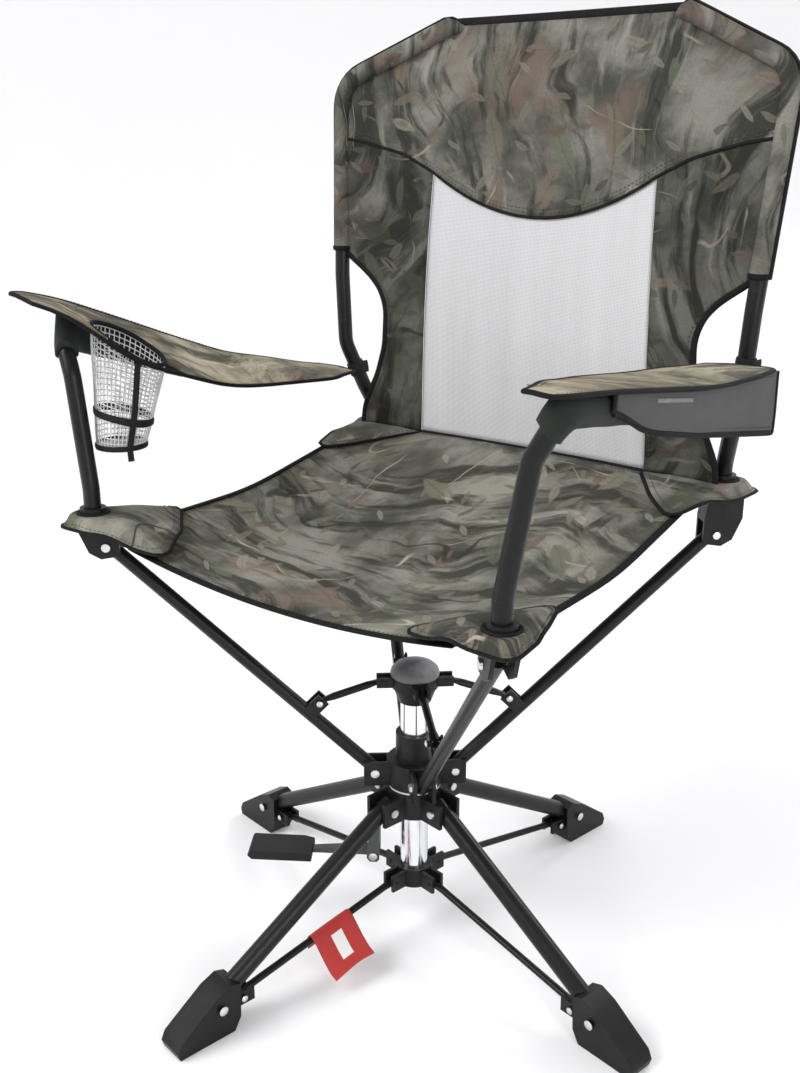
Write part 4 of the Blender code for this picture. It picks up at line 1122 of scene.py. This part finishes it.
flip_to(shape, (0, -1, 0))
window = thicken(add_piece("back_window", shape, window_mesh, "rear_sling", 180.0), 0.0008)
window.modifiers["thickness"].material_offset = 0
crumple([window])
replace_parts(window, "mesh_panel")

# Armrests: a long piece of printed cloth over a firm grey interlining, bound in tape. Its front end is a
# sleeve over the bent tube and its rear end is strapped round the back upright. The left one is slung
# lower at the back and has a taped cup hole; the right one is flatter.
ARMREST_OUTER, ARMREST_INNER = 0.3130, 0.2150
ARMREST_LINES = {
    "left": (
        ((-0.262, 0.7390), (-0.203, 0.7250), (-0.130, 0.6980), (-0.052, 0.6680), (0.031, 0.6380), (0.091, 0.6250),
         (0.185, 0.6030)),
        ((-0.262, 0.7170), (-0.240, 0.7080), (-0.226, 0.6950), (-0.187, 0.6680), (-0.150, 0.6550), (-0.093, 0.6350),
         (-0.056, 0.6230), (-0.009, 0.6160), (0.110, 0.6060), (0.185, 0.6000)),
    ),
    "right": (
        ((-0.245, 0.7080), (-0.163, 0.6990), (-0.120, 0.6930), (0.0, 0.6770), (0.045, 0.6720), (0.172, 0.6670)),
        ((-0.245, 0.7080), (-0.183, 0.7000), (-0.120, 0.6910), (0.041, 0.6720), (0.172, 0.6620)),
    ),
}
ARMREST_EDGES = {
    "left": (
        ((-0.262, 0.2700), (-0.245, 0.2490), (-0.225, 0.2340), (-0.190, 0.2185), (-0.150, 0.2150), (0.120, 0.2160),
         (0.182, 0.2380)),
        ((-0.262, 0.3040), (-0.248, 0.3130), (0.120, 0.3130), (0.182, 0.2960)),
    ),
    "right": (
        ((-0.245, 0.2860), (-0.190, 0.2620), (-0.130, 0.2420), (-0.050, 0.2260), (0.030, 0.2170), (0.110, 0.2160),
         (0.172, 0.2360)),
        ((-0.245, 0.3060), (-0.232, 0.3130), (0.110, 0.3130), (0.172, 0.3080)),
    ),
}
ARMREST_ENDS = {"left": (-0.2620, 0.1820), "right": (-0.2450, 0.1720)}
CUP_CENTRE, CUP_RADIUS, CUP_STRETCH, CUP_LEAN = (-0.2515, -0.1620), 0.0320, 1.20, 0.0180
CUP_OUTLINE_STEPS, CUP_RINGS = 48, 3
PRINT_START = {"left": (4.1, 0.9), "right": (5.3, 0.9)}

# The armrests take much lighter copies of the print than the seat, the left one lightest: painted light and sheen on
# their tops.
lit_armrest_prints = {"left": woodland_print("lit_armrest_print_left", 1.95, 0.13),
                  "right": woodland_print("lit_armrest_print_right", 1.70, 0.14)}
nose_cloth = plain_cloth("nose_cloth", (0.017, 0.021, 0.018), 0.0016)


def armrest_place(side, x, y):
    """Height of the armrest's cloth: slanted from its outer to its inner edge and a little crowned."""
    outer, inner = ARMREST_LINES[side]
    share = (ARMREST_OUTER - abs(x)) / (ARMREST_OUTER - ARMREST_INNER)
    height = eased(outer, y, 0.02) * (1 - share) + eased(inner, y, 0.02) * share
    calm = rise(share, 0.0, 0.25) * rise(1.0 - share, 0.0, 0.25)
    height += 0.0016 * calm + 0.0011 * calm * noise.noise((x * 40.0, y * 13.0, 1.1 if side == "left" else 6.4))
    return Vector((x, y, height))


def armrest_spot(side, u, v):
    """A point of the cut, u from the inner edge to the outer one and v from front to rear."""
    front, rear = ARMREST_ENDS[side]
    y = front + (rear - front) * v
    inner, outer = (eased(edge, y, 0.008) for edge in ARMREST_EDGES[side])
    return (-1.0 if side == "left" else 1.0) * (inner + (outer - inner) * u), y


def armrest_rim(side, count=120):
    """The armrest's outline as a closed line."""
    steps = [(0.0, k / 40) for k in range(40)] + [(k / 12, 1.0) for k in range(12)]
    steps += [(1.0, 1.0 - k / 40) for k in range(40)] + [(1.0 - k / 12, 0.0) for k in range(13)]
    return even_points([armrest_place(side, *armrest_spot(side, u, v)) for u, v in steps], count)


def rim_gap(y):
    """Keeps the choice of the cup hole's edges clear of the armrest's own curved edge."""
    return eased(ARMREST_EDGES["left"][0], y, 0.008) - ARMREST_INNER


def cup_edge(turn):
    """A point of the cup hole's edge, on the armrest."""
    return armrest_place("left", CUP_CENTRE[0] + CUP_RADIUS * math.cos(turn),
                         CUP_CENTRE[1] + CUP_RADIUS * CUP_STRETCH * math.sin(turn))


def cut_cup_hole(shape):
    """Opens the flat armrest and draws its cloth in to the oval hole in even rings."""
    hole = Vector((*CUP_CENTRE, 0.0))
    near = [face for face in shape.faces if abs(face.calc_center_median().y - hole.y) < 0.0450
            and 0.218 < abs(face.calc_center_median().x) < 0.293]
    bmesh.ops.delete(shape, geom=near, context="FACES")
    edges = [edge for edge in shape.edges if len(edge.link_faces) == 1
             and all((vertex.co - hole).length < 0.070 and 0.2155 + rim_gap(vertex.co.y) < abs(vertex.co.x) < 0.3115
                     for vertex in edge.verts)]

    def towards_hole(start, number):
        spoke = Vector((start.x - hole.x, (start.y - hole.y) / CUP_STRETCH, 0)).normalized() * CUP_RADIUS
        return start.lerp(hole + Vector((spoke.x, spoke.y * CUP_STRETCH, 0)), number / CUP_RINGS)

    starts = {vertex: vertex.co.copy() for edge in edges for vertex in edge.verts}
    grow_rings(shape, edges, starts, CUP_RINGS, towards_hole)
    bmesh.ops.remove_doubles(shape, verts=shape.verts[:], dist=1e-6)


def crumple_armrest(pieces):
    """An armrest and all that hangs on it each get a mesh of their own."""
    crumple(pieces)


armrest_pieces = {}
for side in ("left", "right"):
    sign = -1.0 if side == "left" else 1.0
    shape = bmesh.new()
    bmesh.ops.create_grid(shape, x_segments=14, y_segments=60, size=0.5)
    for vertex in shape.verts:
        x, y = armrest_spot(side, vertex.co.x + 0.5, vertex.co.y + 0.5)
        vertex.co = (x, y, 0.0)
    if side == "left":
        cut_cup_hole(shape)
    start_x, start_y = PRINT_START[side]
    lay_print(shape, lambda vertex: (vertex.co.x * sign + start_x, vertex.co.y + start_y))
    for vertex in shape.verts:
        vertex.co = armrest_place(side, vertex.co.x, vertex.co.y)
    bmesh.ops.recalc_face_normals(shape, faces=shape.faces[:])
    flip_to(shape, (0, 0, 1))
    body = f"post_front_{side}"
    # The armrest's cloth wears its lighter copy of the print, which is painted light.
    rest = thicken(add_piece(f"armrest_cloth_{side}", shape, (lit_armrest_prints[side], under_cloth), body,
                             180.0), 0.0026)
    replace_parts(rest, f"armrest_{side}")
    rim = armrest_rim(side)
    shape = bmesh.new()
    run_along(shape, rim, (0, 0, 1), 0.0052, 0.0042, closed=True)
    inner = [point + (Vector((sign * 0.272, point.y, point.z)) - point).normalized() * 0.0060 + Vector((0, 0, 0.0015))
             for point in rim]
    if side == "left":
        run_along(shape, [cup_edge(a) for a in full_turn(CUP_OUTLINE_STEPS)], (0, 0, 1), 0.0048, 0.0050, closed=True)
    tape = tape_piece(f"armrest_tape_{side}", shape, body)
    stitches = sewn_piece(f"armrest_stitches_{side}", [(inner[4:-4], (0, 0, 1))], body)
    crumple_armrest((rest, tape, stitches))
    armrest_pieces[side] = [rest, tape, stitches]

# Tube sleeves: a pocket of plain dark cloth sewn under the front of each armrest, pulled over the bend
# of the upright and along the level stretch of its tube. Its top is drawn up to the armrest's cloth.
SLEEVE_RISE = 0.0115
for side, drop in (("left", 0.0530), ("right", 0.0240)):
    sign = -1.0 if side == "left" else 1.0
    line = rounded_line(
        ((sign * 0.2700, -0.2182, 0.6150), (sign * 0.2760, -0.2165, 0.6500), (sign * 0.2960, -0.2100, 0.6880),
         (sign * 0.2970, -0.0500, 0.6880 - drop)), 0.035, 8)
    line = even_points([point for point in line if point.z > 0.664 or point.y > -0.19], 30)
    shape = bmesh.new()
    run_along(shape, line, (-sign, 0, 0.4), 0.0232, 0.0226, sides=18)
    for vertex in shape.verts:
        middle = min(line, key=lambda point: (point - vertex.co).length_squared)
        out = vertex.co - middle
        tug = 0.0010 * noise.noise((vertex.co.x * 50.0, vertex.co.y * 38.0, vertex.co.z * 50.0))
        vertex.co += out.normalized() * tug
        reach = armrest_place(side, vertex.co.x, vertex.co.y).z - 0.0030 - middle.z
        if out.z > 0.0 and middle.z > 0.6600 - drop and reach > SLEEVE_RISE:
            vertex.co.z += (reach - SLEEVE_RISE) * rise(out.z, 0.0, 0.0080) * rise(middle.y, -0.2170, -0.2060)
    lay_print(shape, lambda vertex: (vertex.co.x + vertex.co.z, vertex.co.y))
    sleeve = add_piece(f"tube_sleeve_{side}", shape, nose_cloth, f"post_front_{side}", 70.0)
    armrest_pieces[side].append(sleeve)

# Side panel: a hanging pocket of grey cloth on the outside of the right armrest, taped along its
# mouth and sewn to the armrest's outer edge.
PANEL_TOP = ((-0.1550, 0.6975), (0.0, 0.6765), (0.1720, 0.6665))
PANEL_BOTTOM = ((-0.1550, 0.6830), (-0.1000, 0.6560), (0.0, 0.6350), (0.1720, 0.6050))
panel_cloth = plain_cloth("panel_cloth", (0.068, 0.068, 0.068), 0.0018)


def panel_place(u, v):
    y = -0.1550 + 0.3270 * u
    top, bottom = between(PANEL_TOP, y), eased(PANEL_BOTTOM, y, 0.015)
    swell = 0.0035 * math.sin(math.pi * v) * math.sin(math.pi * min(1.0, 1.3 * u))
    ripple = 0.0014 * v * noise.noise((y * 22.0, v * 2.0, 9.2))
    return Vector((0.3105 + swell + ripple, y, top + (bottom - top) * v))


shape = cloth_grid(40, 12, panel_place, lambda u, v: (0.327 * u, 0.055 * v))
flip_to(shape, (1, 0, 0))
panel = thicken(add_piece("side_panel", shape, (panel_cloth, under_cloth), "post_front_right", 180.0))
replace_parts(panel, "side_pocket")
shape = bmesh.new()
hem = [panel_place(k / 40, 1.0) for k in range(41)]
run_along(shape, hem, (1, 0, 0), 0.0060, 0.0034)
for end in (0.0, 1.0):
    run_along(shape, [panel_place(end, k / 8) for k in range(9)], (1, 0, 0), 0.0060, 0.0034)
panel_tape = tape_piece("side_panel_tape", shape, "post_front_right")
mouth = shift_line([panel_place(0.20 + 0.20 * k / 20, 0.24) for k in range(21)], 0.0010, 0, 0)
shape = bmesh.new()
run_along(shape, mouth, (1, 0, 0), 0.0036, 0.0012)
pale_webbing = black_tape("pale_webbing", (0.165, 0.165, 0.168))
panel_mouth = tape_piece("side_panel_mouth", shape, "post_front_right", pale_webbing)
rows = [(shift_line(hem, 0.0010, 0, 0.0058), (1, 0, 0)),
        (shift_line([panel_place(k / 40, 0.06) for k in range(41)], 0.0010, 0, 0), (1, 0, 0))]
panel_stitches = sewn_piece("side_panel_stitches", rows, "post_front_right")
crumple_armrest((panel, panel_tape, panel_mouth, panel_stitches))

# Rear straps: black webbing sewn to the back end of each armrest and looped round the back upright.
webbing = black_tape("black_webbing", (0.013, 0.013, 0.014))
for side, centre, axis, start in (
    ("left", (-0.2562, 0.2082, 0.6020), (-0.015, -0.017, 0.055), (-0.2620, 0.1760, 0.6030)),
    ("right", (0.2668, 0.1984, 0.6630), (0.005, 0.001, 0.085), (0.2640, 0.1660, 0.6640)),
):
    centre, axis, start = Vector(centre), Vector(axis).normalized(), Vector(start)
    first = start - centre
    first = (first - axis * first.dot(axis)).normalized()
    second = axis.cross(first)
    spokes = [first * math.cos(a) + second * math.sin(a) for a in full_turn(32)]
    shape = bmesh.new()
    run_along(shape, [centre + spoke * 0.0100 for spoke in spokes], spokes, 0.0170, 0.0018, sides=12, closed=True)
    tab = [start.lerp(centre + first * 0.0090, k / 5) for k in range(6)]
    run_along(shape, tab, tuple(axis.lerp(Vector((0, 0, 1)), 0.5)), 0.0200, 0.0024, sides=12)
    tail = [centre + second * 0.0100 + Vector((-first.x, -first.y, 0)) * (0.012 * k / 4) for k in range(5)]
    run_along(shape, tail, tuple(second), 0.0150, 0.0020, sides=12)
    strap = tape_piece(f"rear_strap_{side}", shape, f"post_back_{side}", finish=webbing)
    rest, *sewn_on = armrest_pieces[side]

# Cup holder: a bag of knotted net sewn round the cup hole, drawn in by a band and a bottom hoop of
# black webbing, with one upright strap whose end hangs free.
CUP_BOTTOM = 0.5765
net_cord = Finish("net_cord")
cord_place = net_cord.here()
net_fibre = net_cord.cloud(cord_place, 1300.0, 2.0)
net_cord.surface({
    "Base Color": net_cord.mix(net_cord.cloud(cord_place, 55.0, 3.0), (0.36, 0.36, 0.36), (0.62, 0.62, 0.62)),
    "Roughness": net_fibre * 0.15 + 0.6,
    "Specular IOR Level": 0.3,
}, net_fibre, 0.0002)


def cup_spot(turn, down):
    """A point of the bag's wall: its mouth follows the slanted armrest, its foot is level."""
    stretch = 1.0 + (CUP_STRETCH - 1.0) * (1.0 - rise(down, 0.0, 0.6))
    mouth = cup_edge(turn)
    radius = CUP_RADIUS * (1.0 - 0.20 * down ** 2.2) + 0.0012 * math.sin(5 * turn + 2.0) * down * (1 - down)
    height = mouth.z - 0.0030 + (CUP_BOTTOM - mouth.z + 0.0030) * down
    return Vector((CUP_CENTRE[0] + radius * math.cos(turn),
                   CUP_CENTRE[1] - CUP_LEAN * down + radius * stretch * math.sin(turn), height))


NET_AROUND, NET_DOWN, NET_FLOOR = 42, 20, 4
net_middle = Vector((CUP_CENTRE[0], CUP_CENTRE[1] - CUP_LEAN, CUP_BOTTOM - 0.0010))


def net_place(turn, number):
    """Down the wall of the bag, then in across its floor, short of the middle."""
    if number <= NET_DOWN:
        return cup_spot(turn, number / NET_DOWN)
    return cup_spot(turn, 1.0).lerp(net_middle, (number - NET_DOWN) / (NET_FLOOR + 0.3))


shape = bmesh.new()
ring = bmesh.ops.create_circle(shape, cap_ends=False, segments=NET_AROUND, radius=1.0)["verts"]
angles = {vertex: math.atan2(vertex.co.y, vertex.co.x) for vertex in ring}
for vertex in ring:
    vertex.co = cup_spot(angles[vertex], 0.0)
grow_rings(shape, shape.edges[:], angles, NET_DOWN + NET_FLOOR, net_place)
bmesh.ops.recalc_face_normals(shape, faces=shape.faces[:])
bmesh.ops.wireframe(shape, faces=shape.faces[:], thickness=0.0012, use_replace=True, use_boundary=True,
                    use_even_offset=True)
net = add_piece("cup_net", shape, net_cord, "post_front_left", 40.0)
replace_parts(net, "cup_holder")
shape = bmesh.new()
for down, wide in ((0.70, 0.0080), (1.0, 0.0060)):
    hoop = [cup_spot(turn, down) for turn in full_turn(40)]
    middle = sum(hoop[:-1], Vector()) / 40
    spokes = [Vector((point.x - middle.x, point.y - middle.y, 0)).normalized() for point in hoop]
    run_along(shape, [point + spoke * 0.0010 for point, spoke in zip(hoop, spokes)], spokes, wide, 0.0020, closed=True)
strap_turn = math.radians(-22.0)
strap_out = Vector((math.cos(strap_turn), math.sin(strap_turn), 0.0))
strap = [cup_spot(strap_turn, k / 10) + strap_out * 0.0026 for k in range(11)]
strap += [strap[-1] + Vector((0.0004 * k, 0, -0.0042 * k)) for k in (1, 2, 3)]
run_along(shape, strap, tuple(strap_out), 0.0068, 0.0018)
cup_bands = tape_piece("cup_bands", shape, "post_front_left", webbing)
crumple_armrest((net, cup_bands))

# Hang tag: a stiff red woven ribbon looped over one of the lower rods, with a blank white stripe.
TAG_RADII, TAG_AZIMUTH, TAG_STEPS = (0.1000, 0.1540), math.radians(LEG_AZIMUTHS[0]), 24
TAG_WIDTH, TAG_LENGTH = 0.054, 0.080
TAG_FALL = ((-0.0042, -0.0130), (-0.0056, -0.0030), (-0.0036, 0.0042), (0.0018, 0.0056), (0.0080, 0.0016),
            (0.0170, -0.0075), (0.0270, -0.0170), (0.0360, -0.0240), (0.0450, -0.0275))
tag_ribbon = Finish("tag_ribbon")
tag_cloth = tag_ribbon.cut()
tag_across, tag_up = tag_ribbon.parts(tag_cloth)
tag_weave = cloth_weave(tag_ribbon, tag_cloth, 0.0010)
stripe = 1.0 - tag_ribbon.step(abs(tag_across - TAG_WIDTH / 2), 0.0070, 0.0076)
stripe = stripe * tag_ribbon.step(tag_up, 0.036, 0.0368)
stripe = stripe * (1.0 - tag_ribbon.step(tag_up, 0.066, 0.0668))
tag_ribbon.surface({
    "Base Color": tag_ribbon.mix(stripe, tag_ribbon.mix(tag_weave, (0.36, 0.016, 0.014), (0.52, 0.030, 0.024)),
                                 (0.80, 0.78, 0.77)),
    "Roughness": tag_weave * 0.2 + 0.42,
}, tag_weave, 0.00015)
tag_line = even_points([Vector((run, 0.0, fall)) for run, fall in TAG_FALL], TAG_STEPS + 1)
tag_along = Vector((math.cos(TAG_AZIMUTH), math.sin(TAG_AZIMUTH), 0.0))
tag_aside = Vector((-tag_along.y, tag_along.x, 0.0))


def tag_place(u, v):
    radius = TAG_RADII[0] + (TAG_RADII[1] - TAG_RADII[0]) * u
    spot = tag_line[round(v * TAG_STEPS)]
    rod_height = between(((COLLAR_PIVOT[0], COLLAR_PIVOT[1]), (FOOT_PIVOT[0], FOOT_PIVOT[1])), radius)
    curl = 0.0030 * math.sin(math.pi * u) * v + 0.0012 * noise.noise((u * 2.0, v * 3.0, 0.5)) * v
    return tag_along * radius + tag_aside * spot.x + Vector((0, 0, rod_height + spot.z + curl))


shape = cloth_grid(12, TAG_STEPS, tag_place, lambda u, v: (TAG_WIDTH * u, TAG_LENGTH * v))
flip_to(shape, (0.3, -0.3, 1))
tag = thicken(add_piece("hang_tag", shape, tag_ribbon, "lower_rod_front_left", 180.0), 0.0007)
tag.modifiers["thickness"].material_offset = 0

# Pedal spring: a few turns of bright spring wire round the pedal's pin, between its cheeks.
SPRING_CENTRE = Vector((-0.0349, -0.0319, 0.0930))
SPRING_AZIMUTH = math.radians(305.1)
SPRING_AXIS = Vector((math.cos(SPRING_AZIMUTH), math.sin(SPRING_AZIMUTH), 0.0))
SPRING_RADIUS, SPRING_HALF, WIRE = 0.0054, 0.0030, 0.0014
TURN_STEPS, COIL_STEPS = 20, 80

shape = bmesh.new()
spring_side = SPRING_AXIS.cross(Vector((0, 0, 1)))
coil, outwards = [], []
for step in range(COIL_STEPS + 1):
    turn = math.tau * step / TURN_STEPS
    outward = spring_side * math.cos(turn) + Vector((0, 0, 1)) * math.sin(turn)
    slide = SPRING_HALF * (2 * step / COIL_STEPS - 1)
    outwards.append(outward)
    coil.append(SPRING_CENTRE + SPRING_AXIS * slide + outward * SPRING_RADIUS)
run_along(shape, coil, outwards, WIRE, WIRE, sides=8)
spring = add_piece("pedal_spring_coil", shape, bolt_steel, body_of["pedal_spring"], 60.0)
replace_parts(spring, "pedal_spring")
